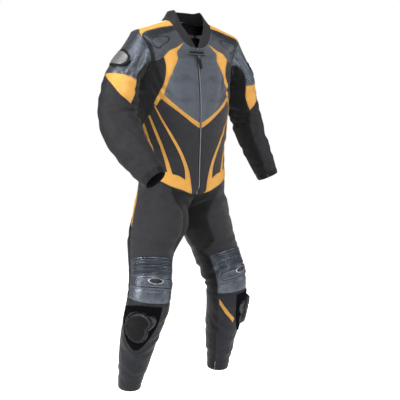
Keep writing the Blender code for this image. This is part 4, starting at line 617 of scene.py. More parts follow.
def column(rows, columns, name, at):
    """Smooth curve through one column of a table of sections."""
    at = np.asarray(at, float)
    keys = np.array([row[0] for row in rows])
    values = np.array([row[columns.index(name)] for row in rows])
    slopes = np.gradient(values, keys)
    i = np.clip(np.searchsorted(keys, at, side="right") - 1, 0, len(keys) - 2)
    span = keys[i + 1] - keys[i]
    t = np.clip((at - keys[i]) / span, 0.0, 1.0)
    start = ((2 * t ** 3 - 3 * t ** 2 + 1) * values[i]
             + (t ** 3 - 2 * t ** 2 + t) * span * slopes[i])
    end = ((3 * t ** 2 - 2 * t ** 3) * values[i + 1]
           + (t ** 3 - t ** 2) * span * slopes[i + 1])
    return start + end


def columns_at(rows, columns, names, at):
    """Several columns of a table, their names in one line."""
    return [column(rows, columns, name, at) for name in names.split()]


def ease(x):
    """0 to 1 with soft ends."""
    x = np.clip(x, 0.0, 1.0)
    return x * x * (3.0 - 2.0 * x)


def unit(v):
    """Vectors of length 1."""
    return v / np.maximum(np.linalg.norm(v, axis=-1, keepdims=True), 1e-12)


def leg_point(turn, run):
    """Closed section of the leg, square to its axis below the crotch."""
    angle = 2.0 * math.pi * turn
    centre_x, centre_y, half_width, front, back = columns_at(
        LEG_ROWS, LEG_COLUMNS, "centre_x centre_y half_width front back", run)
    swing = np.sin(angle)
    x = -half_width * np.cos(angle)
    y = -np.where(swing > 0, front, back) * swing
    step = 0.01
    above = columns_at(LEG_ROWS, LEG_COLUMNS, "centre_x centre_y", run + step)
    below = columns_at(LEG_ROWS, LEG_COLUMNS, "centre_x centre_y", run - step)
    slope_x, slope_y = [(high - low) / (2 * step) for high, low in zip(above, below)]
    square = ease((CROTCH - run) / 0.10)
    z = run - square * (slope_x * x + slope_y * y)
    return np.stack([centre_x + x, centre_y + y, z], -1)


def trunk_point(turn, run):
    """Half section of the trunk from the centre front to the centre back."""
    angle = math.pi * turn
    half_width, front_y, side_y, back_y, front_z, side_z, back_z, square = columns_at(
        TRUNK_ROWS, TRUNK_COLUMNS,
        "half_width front_y side_y back_y front_z side_z back_z square", run)
    power = 2.0 / square
    s, c = np.sin(angle), np.cos(angle)
    x = half_width * np.sign(s) * np.abs(s) ** power
    y = side_y + (np.where(c > 0, front_y, back_y) - side_y) * np.abs(c) ** power
    end_z = np.where(c > 0, front_z, back_z)
    return np.stack([x, y, end_z + (side_z - end_z) * s * s], -1)


def smooth_body(turn, run):
    """The trunk, blended into the legs: slowly at the front, quickly under the seat."""
    leg = leg_point(turn, np.minimum(run, HIP))
    trunk = trunk_point(turn, np.maximum(run, CROTCH))
    t = np.clip((run - CROTCH) / (HIP - CROTCH), 0.0, 1.0)
    front = t ** 1.6
    back = np.sqrt(np.clip(1.0 - (1.0 - t) ** 2, 0.0, 1.0))
    to_back = ease((turn - 0.25) / 0.5)
    share = front * (1.0 - to_back) + back * to_back
    return leg * (1.0 - share[..., None]) + trunk * share[..., None]


def armhole(turn):
    """The armhole's places on the body chart, by the sleeve's turn."""
    angle = 2.0 * math.pi * np.asarray(turn, float)
    c, s = np.cos(angle), np.sin(angle)
    reach = np.where(c > 0, ARMHOLE_HIGH - ARMHOLE_MIDDLE, ARMHOLE_MIDDLE - ARMHOLE_LOW)
    middle = (ARMHOLE_FRONT + ARMHOLE_BACK) / 2
    return middle - s * (ARMHOLE_BACK - ARMHOLE_FRONT) / 2, ARMHOLE_MIDDLE + reach * c


def smooth_sleeve(side, turn, run):
    """Sections square to the arm, which grow out of the armhole."""
    rows = LEFT_SLEEVE_ROWS if side > 0 else RIGHT_SLEEVE_ROWS

    def axis(at):
        return np.stack(columns_at(rows, SLEEVE_COLUMNS, "centre_x centre_y centre_z", at), -1)

    step = 0.004
    along = unit(axis(np.minimum(run + step, CUFF)) - axis(np.maximum(run - step, 0.0)))
    outward = np.zeros_like(along) + np.array([1.0, 0.0, 0.0])
    outward = unit(outward - (outward * along).sum(-1, keepdims=True) * along)
    forward = np.cross(outward, along)
    angle = 2.0 * math.pi * turn
    half_width, half_depth = columns_at(rows, SLEEVE_COLUMNS, "half_width half_depth", run)
    wide, deep = half_width * np.cos(angle), half_depth * np.sin(angle)
    section = axis(run) + outward * wide[..., None] - forward * deep[..., None]
    hole = form("body", 1, *armhole(turn))
    return hole + (section - hole) * ease(run / SLEEVE_HEAD)[..., None]


def smooth_collar(turn, rise):
    """The collar from the neck seam (rise 0) to its top edge (rise 1)."""
    front = np.where(turn > 1.0, 2.0 - turn, turn)
    base = form("body", 1, turn, np.full_like(turn, NECK))
    away = unit((base - np.array([0.0, -0.02, 0.0])) * np.array([1.0, 1.0, 0.0]))
    height, lean, spread = columns_at(COLLAR_ROWS, COLLAR_COLUMNS, "height lean spread", front)
    height, lean = height * rise, lean * rise ** 0.8
    spread = spread * rise * np.where(turn > 1.0, -1.0, 1.0)
    return base + np.stack([spread, np.zeros_like(height), height], -1) - away * lean[..., None]


def nearest_turn(gap):
    """The way to a place on a closed round, at most half a turn."""
    return (gap + 0.5) % 1.0 - 0.5


def beside_line(chart, row, gap, run):
    """How far a place lies along and across the line of a fold, in metres."""
    x, y = gap * ROUND_LENGTH[chart], run - row["run"]
    slant = math.radians(row["turn"])
    return x * math.cos(slant) + y * math.sin(slant), y * math.cos(slant) - x * math.sin(slant)


def fold_depth(chart, side, turn, run):
    """How far the largest folds lift a chart's surface."""
    total = np.zeros_like(turn)
    for row in FOLDS.get((chart, side), ()):
        fold = dict(zip(FOLD_COLUMNS, row))
        if chart == "sleeve":
            gap = nearest_turn(turn - fold["round"])
        else:
            gap = np.where(turn > 1.0, 2.0 - turn, turn) - fold["round"]
        along, across = beside_line(chart, fold, gap, run)
        along, across = along / fold["length"], across / fold["breadth"]
        total += fold["depth"] * np.exp(-along ** 2 - across ** 2)
    return total * ease(run / SLEEVE_FOLD_FADE) if chart == "sleeve" else total


def smooth(chart, side, turn, run):
    """A chart's surface without its folds."""
    if chart == "sleeve":
        return smooth_sleeve(side, turn, run)
    if chart == "collar":
        return smooth_collar(turn, run)
    return smooth_body(turn, run)


def slopes_normal(surface, turn, run):
    """Outward normal of a chart's surface, from small steps to either side."""
    step = 0.002
    low, high = np.maximum(run - step, 0.0), run + step
    round_step = surface(turn + step, run) - surface(turn - step, run)
    run_step = surface(turn, high) - surface(turn, low)
    return unit(np.cross(round_step, run_step))


def form(chart, side, turn, run):
    """A chart's surface with its folds, on the left side of the suit."""
    turn, run = np.broadcast_arrays(np.asarray(turn, float), np.asarray(run, float))

    def plain(t, r):
        return smooth(chart, side, t, r)

    depth = fold_depth(chart, side, turn, run)
    if not np.any(np.abs(depth) > 1e-5):
        return plain(turn, run)
    return plain(turn, run) + slopes_normal(plain, turn, run) * depth[..., None]


def place(chart, side, turn, run):
    """Points and normals in the part's frame."""
    turn, run = np.broadcast_arrays(np.asarray(turn, float), np.asarray(run, float))

    def folded(t, r):
        return form(chart, side, t, r)

    points = folded(turn, run) - np.array([0.0, 0.0, HOLD_HEIGHT])
    normals = slopes_normal(folded, turn, run)
    mirror = np.array([side, 1.0, 1.0])
    return points * mirror, normals * mirror


def flat(chart, chart_points):
    """Chart places on a plane with about the true proportions, in which the meshes are made."""
    chart_points = np.asarray(chart_points, float)
    keys, lengths = zip(*RUN_LENGTH[chart])
    height = np.interp(chart_points[..., 1], keys, lengths)
    return np.stack([chart_points[..., 0] * ROUND_LENGTH[chart], height], -1)


def crease_sum(chart, side, turn, run):
    """The creases of one table, added up."""
    total = np.zeros_like(turn)
    for number, row in enumerate(CREASES[chart, side]):
        crease = dict(zip(CREASE_COLUMNS, row))
        gap = turn - crease["round"]
        if chart == "sleeve":
            gap = nearest_turn(gap)
        elif crease["run"] < CROTCH:
            gap = np.where(run < CROTCH, nearest_turn(gap), gap)
        along, across = beside_line(chart, crease, gap, run)
        along = along / crease["length"]
        across = across - crease["bow"] * crease["length"] * along ** 2
        across = across + CREASE_WAVE * np.sin(CREASE_WAVE_RATE * along + number)
        across = across / crease["breadth"]
        valley = np.exp(-np.abs(across) ** 1.5)
        lips = np.exp(-((np.abs(across) - LIP_PLACE) / LIP_BREADTH) ** 2)
        lips = lips * (LIP_HEIGHT + LIP_SLANT * np.sign(across))
        strength = CREASE_STRONG if crease["run"] < STRONG_BELOW[chart] else CREASE_PLAIN
        total += strength * crease["depth"] * (valley - lips) * np.exp(-along ** 2)
    return total


def crease_depth(chart, side, turn, run):
    """How far creases lift or sink a chart's surface, fading out where the charts meet."""
    turn, run = np.broadcast_arrays(np.asarray(turn, float), np.asarray(run, float))
    if chart == "collar":
        return np.zeros_like(turn)
    if chart == "sleeve":
        return crease_sum(chart, side, turn, run) * ease(run / SLEEVE_CREASE_FADE)
    far = (turn > 1.0) & (run > CROTCH)
    total = np.where(far, crease_sum(chart, -side, 2.0 - turn, run),
                     crease_sum(chart, side, turn, run))
    turn = np.where(far, 2.0 - turn, turn)
    reach = np.where(run > ARMHOLE_MIDDLE, ARMHOLE_HIGH - ARMHOLE_MIDDLE,
                     ARMHOLE_MIDDLE - ARMHOLE_LOW)
    hole = np.hypot((turn - 0.5) * 2 / (ARMHOLE_BACK - ARMHOLE_FRONT),
                    (run - ARMHOLE_MIDDLE) / reach)
    fade = ease((hole - 1.0) / ARMHOLE_FADE) * ease((NECK - run) / NECK_FADE)
    fade = fade * np.where(run > ZIP_END - ZIP_FADE, ease(turn / ZIP_FADE), 1.0)
    return total * fade * np.where(run > CROTCH, ease((1.0 - turn) / BACK_FADE), 1.0)


def curve_points(control):
    """Smooth curve through chart places, as a dense line."""
    control = np.asarray(control, float)
    if len(control) == 2:
        return control[0] + (control[1] - control[0]) * np.linspace(0.0, 1.0, 33)[:, None]
    steps = np.linalg.norm(np.diff(control, axis=0) * [ROUND_LENGTH["body"], 1.0], axis=1)
    keys = np.concatenate([[0.0], np.cumsum(steps)])
    rows = [(k, p[0], p[1]) for k, p in zip(keys, control)]
    at = np.linspace(0.0, keys[-1], 24 * len(control))
    return np.stack(columns_at(rows, ("key", "round", "run"), "round run", at), -1)


def even_samples(chart, line, step=SEAM_STEP):
    """The line cut into even pieces."""
    steps = np.linalg.norm(np.diff(flat(chart, line), axis=0), axis=1)
    length = np.concatenate([[0.0], np.cumsum(steps)])
    count = max(1, int(round(length[-1] / step)))
    at = np.linspace(0.0, length[-1], count + 1)
    return np.stack([np.interp(at, length, line[:, 0]), np.interp(at, length, line[:, 1])], -1)


class Seam:
    """The points of one seam, with their places and normals on each chart that it belongs to."""

    def __init__(self, side, charts):
        self.charts = charts
        found = {name: place(name, side, uv[:, 0], uv[:, 1]) for name, uv in charts.items()}
        first = next(iter(charts))
        self.points = found[first][0]
        self.normals = {name: pair[1] for name, pair in found.items()}
        uv = charts[first]
        if "sleeve" not in charts:
            self.points[(np.abs(uv[:, 0] % 1.0) < 1e-9) & (uv[:, 1] > CROTCH - 1e-9), 0] = 0.0
        self.lift = crease_depth(first, side, uv[:, 0], uv[:, 1])


def arm_seam(side, first, last):
    """A stretch of the armhole, between two turns of the sleeve."""
    turns = np.linspace(first, last, 40)
    turns = even_samples("sleeve", np.stack([turns, np.zeros_like(turns)], -1))[:, 0]
    body = np.stack(armhole(turns), -1)
    return Seam(side, {"body": body, "sleeve": np.stack([turns, np.zeros_like(turns)], -1)})


def neck_seam(side, first, last):
    """A stretch of the neck, where the collar is sewn on."""
    line = np.stack([np.linspace(first, last, 40), np.full(40, NECK)], -1)
    turns = even_samples("body", line)[:, 0]
    body = np.stack([turns, np.full_like(turns, NECK)], -1)
    return Seam(side, {"body": body, "collar": np.stack([turns, np.zeros_like(turns)], -1)})


def make_seams(side):
    """Every seam of one side of the suit, by name."""
    seams = {}

    def add(chart, name, line):
        seams[chart + " " + name] = Seam(side, {chart: even_samples(chart, curve_points(line))})

    for name, first, way, last in BODY_SEAMS:
        add("body", name, (BODY_PLACES[first], *way, BODY_PLACES[last]))
    for name, first, last in ARM_SEAMS:
        seams[name] = arm_seam(side, ARM_TURNS[first], ARM_TURNS[last])
    seams["arm_under"] = arm_seam(side, ARM_TURNS["arm_side_front"],
                                  1.0 + ARM_TURNS["arm_side_back"])
    for name, first, last in NECK_SEAMS:
        seams[name] = neck_seam(side, BODY_PLACES[first][0], BODY_PLACES[last][0])
    for name, first, way, last in SEAMS_TO_ARMHOLE:
        end = tuple(float(value) for value in armhole(ARM_TURNS[last]))
        add("body", name, (BODY_PLACES[first], *way, end))
    places = dict(SLEEVE_PLACES)
    for name in ("arm_side_front", "arm_side_back"):
        places[name] = (ARM_TURNS[name], 0.0)
    for name, first, way, last in SLEEVE_SEAMS:
        add("sleeve", name, (places[first], *way, places[last]))
    return seams


def point_key(point):
    """A seam point's place, rounded so that all the pieces that meet there agree."""
    return tuple(np.round(point, 6) + 0.0)


def shared_normals(seams_of_sides):
    """One normal for every seam point, shared by all the pieces that meet there."""
    book = {}
    for side, seams in seams_of_sides.items():
        for seam in seams.values():
            for chart, normals in seam.normals.items():
                for point, normal in zip(seam.points, normals):
                    book.setdefault(point_key(point), {})[(chart, side)] = normal
    return {key: unit(sum(normals.values())) for key, normals in book.items()}


def inside(polygon, points):
    """Which points lie inside a flat polygon."""
    x, y = points[:, 0:1], points[:, 1:2]
    a, b = polygon, np.roll(polygon, -1, axis=0)
    spans = (a[:, 1] > y) != (b[:, 1] > y)
    rise = np.where(np.abs(b[:, 1] - a[:, 1]) < 1e-12, 1e-12, b[:, 1] - a[:, 1])
    crossing = a[:, 0] + (y - a[:, 1]) * (b[:, 0] - a[:, 0]) / rise
    return (np.sum(spans & (x < crossing), axis=1) % 2) == 1


def seam_place(points, border):
    """Each point's distance to the border, and how far along it the nearest place is."""
    starts, run = border, np.roll(border, -1, axis=0) - border
    lengths = np.linalg.norm(run, axis=1)
    begin = np.concatenate([[0.0], np.cumsum(lengths)[:-1]])
    distance, along = np.zeros(len(points)), np.zeros(len(points))
    for k in range(0, len(points), 1500):
        part = points[k:k + 1500, None]
        t = np.clip(np.sum((part - starts) * run, -1) / np.maximum(lengths ** 2, 1e-12), 0.0, 1.0)
        far = np.linalg.norm(part - starts - t[..., None] * run, axis=-1)
        best = far.argmin(axis=1)
        rows = np.arange(len(best))
        distance[k:k + 1500] = far[rows, best]
        along[k:k + 1500] = begin[best] + t[rows, best] * lengths[best]
    return distance, along


def stagger(low, high, step):
    """Rows of points, every second row moved by half a step."""
    rows = np.arange(low[1] + 0.5 * step, high[1], step * 0.87)
    found = [np.zeros((0, 2))]
    for k, y in enumerate(rows):
        xs = np.arange(low[0] + (0.25 + 0.5 * (k % 2)) * step, high[0], step)
        found.append(np.stack([xs, np.full_like(xs, y)], -1))
    return np.concatenate(found)


def triangulate(border, free):
    """Triangles over flat points inside a closed border."""
    points = np.concatenate([border, free])
    edges = [(k, (k + 1) % len(border)) for k in range(len(border))]
    vectors = [Vector((float(p[0]), float(p[1]))) for p in points]
    result = delaunay_2d_cdt(vectors, edges, [], 0, 1e-7)
    origin = [link[0] for link in result[3]]
    found = np.array([[origin[k] for k in face] for face in result[2]])
    corner = points[found]
    turn = np.cross(corner[:, 1] - corner[:, 0], corner[:, 2] - corner[:, 0])
    found[turn < 0] = found[turn < 0][:, ::-1]
    return found[inside(border, corner.mean(axis=1)) & (np.abs(turn) > 1e-12)]


def inset(side, points, normals, gaps):
    """Moves of the border's points to the inside, by each edge's gap."""
    before = unit(points - np.roll(points, 1, axis=0))
    after = unit(np.roll(points, -1, axis=0) - points)
    first, second = unit(np.cross(normals, before)) * side, unit(np.cross(normals, after)) * side
    g1, g2 = np.roll(gaps, 1)[:, None], gaps[:, None]
    c = np.sum(first * second, -1, keepdims=True)
    plain = (first + second) / np.maximum(1.0 + c, 0.05) * np.maximum(g1, g2)
    share = np.maximum(1.0 - c * c, 0.02)
    corner = (first * (g1 - c * g2) + second * (g2 - c * g1)) / share
    move = np.where((1.0 - c * c < 0.02) & (c > 0), plain, corner)
    limit = 1.2 * np.maximum(g1, g2) + 0.0006
    size = np.linalg.norm(move, axis=-1, keepdims=True)
    return move * np.minimum(1.0, limit / np.maximum(size, 1e-9))


def joined_loop(side, chart, entries, seams, wide):
    """The seams round a panel in one closed loop, each turned to follow the one before."""
    pieces = []
    for entry in entries:
        plain = entry.strip(">~")
        name = plain if plain.startswith(("neck_", "arm_")) else chart + " " + plain
        seam = seams[-side if entry.startswith("~") else side][name]
        uv = seam.charts[chart]
        if entry.startswith(">"):
            uv = uv + [1.0, 0.0]
        if entry.startswith("~"):
            uv = [2.0, 0.0] + uv * [-1.0, 1.0]
        gap = (ZIP_WIDTH / 2 if plain in wide else 0.0) + SEAM_GAP / 2
        pieces.append([uv, seam.points, seam.lift, np.full(len(uv), gap)])
    end, second = pieces[0][0][-1], pieces[1][0]
    if min(np.abs(second[0] - end).max(), np.abs(second[-1] - end).max()) > 1e-6:
        pieces[0] = [part[::-1] for part in pieces[0]]
    rows, end = [], pieces[0][0][0]
    for piece in pieces:
        if np.abs(piece[0][0] - end).max() > 1e-6:
            piece = [part[::-1] for part in piece]
        rows.append([part[:-1] for part in piece])
        end = piece[0][-1]
    return [np.concatenate(parts) for parts in zip(*rows)]


def doubled_areas(corner):
    """Twice the area of each triangle."""
    turned = np.cross(corner[:, 1] - corner[:, 0], corner[:, 2] - corner[:, 0])
    return np.linalg.norm(turned, axis=1) if turned.ndim > 1 else np.abs(turned)


class Sheet:
    """A cut piece of cloth as a fine mesh on its chart."""

    def __init__(self, side, chart, uv, points, normals, lift, gaps, step, squeeze=1.0):
        self.side = side
        spread = np.array([1.0, squeeze])
        border = flat(chart, uv) * spread
        turned = np.roll(border, -1, axis=0)
        if np.sum(border[:, 0] * turned[:, 1] - turned[:, 0] * border[:, 1]) < 0:
            uv, points, normals, lift = (part[::-1] for part in (uv, points, normals, lift))
            border, gaps = border[::-1], np.roll(gaps[::-1], -1)
        tangent = unit(np.roll(border, -1, axis=0) - np.roll(border, 1, axis=0))
        near = border + np.stack([-tangent[:, 1], tangent[:, 0]], -1) * EDGE_RING
        near = near[inside(border, near)]
        near = near[seam_place(near, border)[0] > 0.75 * EDGE_RING]
        grid = stagger(border.min(axis=0), border.max(axis=0), step)
        grid = grid[inside(border, grid)]
        grid = grid[seam_place(grid, border)[0] > EDGE_RING + 0.45 * step]
        free = np.concatenate([near, grid])
        free_uv = unflat(chart, free / spread)
        free_points, free_normals = place(chart, side, free_uv[:, 0], free_uv[:, 1])
        self.triangles = triangulate(border, free)
        self.flat = np.concatenate([border, free]) / spread
        self.uv = np.concatenate([uv, free_uv])
        self.edge, self.along = seam_place(self.flat, border / spread)
        self.points = np.concatenate([points + inset(side, points, normals, gaps), free_points])
        self.normals = np.concatenate([normals, free_normals])
        self.lift = np.concatenate([lift, crease_depth(chart, side, free_uv[:, 0], free_uv[:, 1])])

    def rolled(self, depth):
        """How far the sewn edges turn in, slightly uneven along the seam."""
        beat = np.sin(self.along * 2 * math.pi / PUCKER_PITCH) * np.sin(self.along * PUCKER_RATE)
        return -depth * (1.0 + PUCKER_SHARE * beat) * np.exp(-(self.edge / EDGE_ROLL_WIDTH) ** 2)

    def cut(self, outer):
        """The flat size and area of the cut piece; a curved strip's are its width and length."""
        area = 0.5 * doubled_areas(outer[self.triangles]).sum()
        span = self.flat.max(axis=0) - self.flat.min(axis=0)
        scale = math.sqrt(area / (0.5 * doubled_areas(self.flat[self.triangles]).sum()))
        width, length = float(span[0] * scale), float(span[1] * scale)
        if area < 0.32 * width * length:
            length = float(np.max(self.along)) * scale / 2
            width = max(area / length, 0.0101)
        return (round(width, 3), round(length, 3)), float(area)

    def outward_triangles(self):
        """The points that the triangles use, and the triangles, facing out on either side."""
        used, triangles = np.unique(self.triangles, return_inverse=True)
        triangles = triangles.reshape(-1, 3)
        return used, triangles if self.side > 0 else triangles[:, ::-1]


def unflat(chart, points):
    """From the plane back to chart places."""
    keys, lengths = zip(*RUN_LENGTH[chart])
    run = np.interp(points[:, 1], lengths, keys)
    return np.stack([points[:, 0] / ROUND_LENGTH[chart], run], -1)


def panel(side, chart, entries, seams, shared, step=STEP, wide=(), squeeze=1.0):
    """A piece of cloth between its seams."""
    uv, points, lift, gaps = joined_loop(side, chart, entries, seams, wide)
    normals = np.array([shared[point_key(point)] for point in points])
    return Sheet(side, chart, uv, points, normals, lift, gaps, step, squeeze)


def patch(side, chart, strokes, step):
    """A piece drawn by its outline, which lies on another."""
    uv = np.concatenate([even_samples(chart, curve_points(stroke))[:-1] for stroke in strokes])
    points, normals = place(chart, side, uv[:, 0], uv[:, 1])
    lift = crease_depth(chart, side, uv[:, 0], uv[:, 1])
    return Sheet(side, chart, uv, points, normals, lift, np.zeros(len(uv)), step)


def new_piece(name, points, faces, maps, materials):
    """An object in the scene with its maps and materials."""
    mesh = bpy.data.meshes.new(name)
    mesh.from_pydata(points.tolist(), [], faces)
    corners = np.zeros(len(mesh.loops), int)
    mesh.loops.foreach_get("vertex_index", corners)
    for map_name, places in maps.items():
        mesh.uv_layers.new(name=map_name).data.foreach_set("uv", places[corners].ravel())
    for material in materials:
        mesh.materials.append(material)
    piece = bpy.data.objects.new(name, mesh)
    bpy.context.scene.collection.objects.link(piece)
    return piece


def declare(piece, node):
    """The piece rides on the suit and stands in for its node, which is hidden."""
    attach(piece, "suit")
    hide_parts(node)


def sew(name, sheet, finish, node, lift=0.0, thick=CLOTH, roll=EDGE_ROLL):
    """The sheet's object: its outer skin, its thickness, its maps and what it stands for."""
    outer = sheet.points + sheet.normals * (sheet.lift + sheet.rolled(roll) + lift)[:, None]
    used, triangles = sheet.outward_triangles()
    maps = {"cut": sheet.flat[used], "seam": np.stack([sheet.along, sheet.edge], -1)[used]}
    piece = new_piece(name, outer[used], triangles.tolist(), maps, (finish, finishes["lining"]))
    wall = piece.modifiers.new("wall", "SOLIDIFY")
    wall.thickness = thick
    wall.offset = -1.0
    wall.material_offset = 1
    bpy.context.view_layer.objects.active = piece
    bpy.ops.object.modifier_apply(modifier=wall.name)
    piece.data.shade_smooth()
    piece.data.set_sharp_from_angle(angle=SHARP_EDGE)
    declare(piece, node)
    size, area = sheet.cut(outer)


class Finish:
    """A surface built up from layers of nodes."""

    def __init__(self, name, colour, roughness, metallic=0.0, coat=0.0, sheen=0.0, specular=0.5):
        self.material = bpy.data.materials.new(name)
        self.material.use_nodes = True
        self.tree = self.material.node_tree
        self.shader = self.tree.nodes["Principled BSDF"]
        values = {"Base Color": (*colour, 1.0), "Roughness": roughness, "Metallic": metallic,
                  "Coat Weight": coat, "Coat Roughness": 0.25, "Sheen Weight": sheen,
                  "Sheen Roughness": 0.4, "Specular IOR Level": specular}
        for key, value in values.items():
            self.shader.inputs[key].default_value = value
        self.tint = (*colour, 1.0)
        self.height = None

    def add(self, kind, inputs=(), **settings):
        node = self.tree.nodes.new(kind)
        for key, value in settings.items():
            setattr(node, key, value)
        for key, value in dict(inputs).items():
            if isinstance(value, bpy.types.NodeSocket):
                self.tree.links.new(value, node.inputs[key])
            else:
                node.inputs[key].default_value = value
        return node

    def math(self, operation, first, second=0.0):
        return self.add("ShaderNodeMath", {0: first, 1: second}, operation=operation).outputs[0]

    def times(self, first, second):
        return self.math("MULTIPLY", first, second)

    def map(self, name):
        """The piece's own map, or the place on the object."""
        if name == "object":
            return self.add("ShaderNodeTexCoord").outputs["Object"]
        return self.add("ShaderNodeUVMap", uv_map=name).outputs["UV"]

    def parts(self, name):
        """A map's numbers, one by one."""
        return self.add("ShaderNodeSeparateXYZ", {0: self.map(name)}).outputs

    def noise(self, where, scale, detail=3.0, rough=0.55, distortion=0.0):
        inputs = {"Vector": where, "Scale": scale, "Detail": detail, "Roughness": rough,
                  "Distortion": distortion}
        return self.add("ShaderNodeTexNoise", inputs).outputs["Fac"]

    def cells(self, where, scale, feature="F1"):
        return self.add("ShaderNodeTexVoronoi", {"Vector": where, "Scale": scale},
                        feature=feature).outputs["Distance"]

    def span(self, value, low, high, start=0.0, end=1.0):
        """The value from low to high, eased to start to end."""
        node = self.add("ShaderNodeMapRange", {"Value": value, "From Min": low, "From Max": high,
                                               "To Min": start, "To Max": end})
        node.interpolation_type = "SMOOTHSTEP"
        return node.outputs["Result"]

    def wave(self, value, pitch):
        """Waves from -1 to 1, one in every pitch."""
        return self.math("SINE", self.times(value, 2 * math.pi / pitch))

    def line(self, value, at, core, edge):
        """1 where the value is within core of a number, and 0 further than edge from it."""
        away = self.math("ABSOLUTE", self.math("SUBTRACT", value, at))
        return self.span(away, core, edge, 1.0, 0.0)

    def paint(self, mask, colour):
        """Another colour where the mask is 1."""
        inputs = {0: mask, 6: self.tint, 7: (*colour, 1.0)}
        node = self.add("ShaderNodeMix", inputs, data_type="RGBA")
        self.tint = node.outputs[2]

    def raise_by(self, value, metres):
        """Adds relief: value 1 stands out by that much."""
        part = self.times(value, metres)
        self.height = part if self.height is None else self.math("ADD", self.height, part)

    def rough(self, value, low, high):
        level = self.span(value, 0.25, 0.75, low, high)
        self.tree.links.new(level, self.shader.inputs["Roughness"])

    def finish(self):
        if isinstance(self.tint, bpy.types.NodeSocket):
            self.tree.links.new(self.tint, self.shader.inputs["Base Color"])
        if self.height is not None:
            inputs = {"Height": self.height, "Strength": 1.0, "Distance": 1.0}
            bump = self.add("ShaderNodeBump", inputs)
            self.tree.links.new(bump.outputs["Normal"], self.shader.inputs["Normal"])
        return self.material


def stitch(finish, thread):
    """A row of stitches beside the seams, in a shallow channel."""
    along, edge = finish.parts("seam")[:2]
    row = finish.line(edge, STITCH_INSET, 0.0003, 0.0009)
    dash = finish.times(row, finish.span(finish.wave(along, STITCH_PITCH), -0.35, 0.1))
    finish.paint(dash, thread)
    finish.raise_by(finish.line(edge, STITCH_INSET, 0.0004, 0.0022), -0.0004)
    finish.raise_by(dash, 0.0005)


def leather(name, colour, dark, roughness, metallic, thread, coat, grain=0.00016,
            crumple=0.0022, on="cut", specular=0.5):
    """Hide with fine grain, soft crumples and short wrinkles."""
    finish = Finish(name, colour, roughness, metallic, coat, specular=specular)
    where = finish.map(on)
    finish.paint(finish.span(finish.noise(where, 16.0, 4.0, 0.6), 0.45, 0.75), dark)
    finish.raise_by(finish.noise(where, 34.0, 3.0, 0.55, 0.4), crumple)
    finish.raise_by(finish.noise(where, 90.0, 2.0, 0.5, 0.5), crumple * 0.16)
    finish.raise_by(finish.span(finish.cells(where, 900.0, "DISTANCE_TO_EDGE"), 0.0, 0.35), grain)
    finish.raise_by(finish.noise(where, 210.0, 2.0, 0.6), grain * 3)
    finish.raise_by(finish.noise(where, 320.0, 4.0, 0.6), grain * 2)
    finish.rough(finish.noise(where, 60.0, 3.0), roughness - 0.06, roughness + 0.10)
    if on == "cut":
        stitch(finish, thread)
    return finish


def oval(finish, centre, half):
    """How far a place of the cut piece is from an oval's middle, in half widths."""
    squares = []
    for part, middle, reach in zip(finish.parts("cut"), centre, half):
        gap = finish.math("DIVIDE", finish.math("SUBTRACT", part, middle), reach)
        squares.append(finish.times(gap, gap))
    return finish.math("SQRT", finish.math("ADD", *squares))


def painted_edge_shade(finish, width, dark):
    """A thin dark edge all round a piece: painted shade where its thick edge drops away."""
    edge = finish.span(finish.parts("seam")[1], width * 0.6, width, 1.0, 0.0)
    # painted shade along the edge
    finish.paint(edge, dark)
    finish.raise_by(edge, -0.0010)


def pressed_line(finish, centre, half, dark, top=None, width=0.05):
    """An oval line pressed into the hide, only below top where that is given, its groove darkened
    with painted shade.
    """
    line = finish.line(oval(finish, centre, half), 1.0, width * 0.4, width)
    if top is not None:
        below = finish.span(finish.parts("cut")[1], top - 0.006, top + 0.006, 1.0, 0.0)
        line = finish.times(line, below)
    # painted shade in the pressed groove
    finish.paint(line, dark)
    finish.raise_by(line, -0.0014)


def knit(name, colour, dark, pitch, relief):
    """Stretch cloth: close ribs with a fine cross thread, and painted shade between the ribs."""
    finish = Finish(name, colour, 0.82, sheen=0.15, specular=0.30)
    where = finish.map("cut")
    across, along = finish.parts("cut")[:2]
    ribs = finish.wave(across, pitch)
    # painted shade: darker in the troughs between the ribs
    finish.paint(finish.span(ribs, -0.9, 0.4, 1.0, 0.0), dark)
    finish.raise_by(finish.span(ribs, -1.0, 1.0), relief)
    finish.raise_by(finish.span(finish.wave(along, pitch * 0.6), -1.0, 1.0), relief * 0.35)
    finish.raise_by(finish.noise(where, 26.0, 3.0, 0.55, 0.3), 0.0020)
    finish.rough(finish.noise(where, 45.0, 2.0), 0.74, 0.90)
    stitch(finish, (0.02, 0.02, 0.022))
    return finish


def pierced_hide():
    """The chest's hide, with rows of small holes."""
    hide = leather("grey_hide_pierced", (0.138, 0.157, 0.188), (0.092, 0.105, 0.128), 0.38, 0.80,
                   GREY_THREAD, 0.3, grain=0.00030, crumple=0.0026)
    across, along = hide.parts("cut")[:2]
    dots = hide.times(hide.wave(across, HOLE_PITCH), hide.wave(along, HOLE_PITCH))
    holes = hide.span(dots, 0.55, 0.80)
    hide.paint(holes, (0.020, 0.020, 0.024))
    hide.raise_by(holes, -0.0006)
    return hide


def folded_hide():
    """The knee accordion's hide, with painted shade in the troughs."""
    hide = leather("grey_hide_folded", (0.125, 0.143, 0.175), GREY_DARK, 0.30, 0.80,
                   GREY_THREAD, 0.2, grain=0.00010, crumple=0.0014)
    run = hide.parts("cut")[1]
    beat = hide.math("SINE", hide.times(hide.math("SUBTRACT", run, RIB_LOW), math.pi / RIB_PITCH))
    trough_shade = hide.span(hide.math("ABSOLUTE", beat), 0.05, 0.60, 1.0, 0.0)
    reach = hide.times(hide.span(run, RIB_LOW - 0.001, RIB_LOW + 0.001),
                       hide.span(run, RIB_HIGH - 0.001, RIB_HIGH + 0.001, 1.0, 0.0))
    # painted shade: the troughs between the accordion's folds are darkened
    hide.paint(hide.times(trough_shade, reach), (0.022, 0.025, 0.032))
    return hide


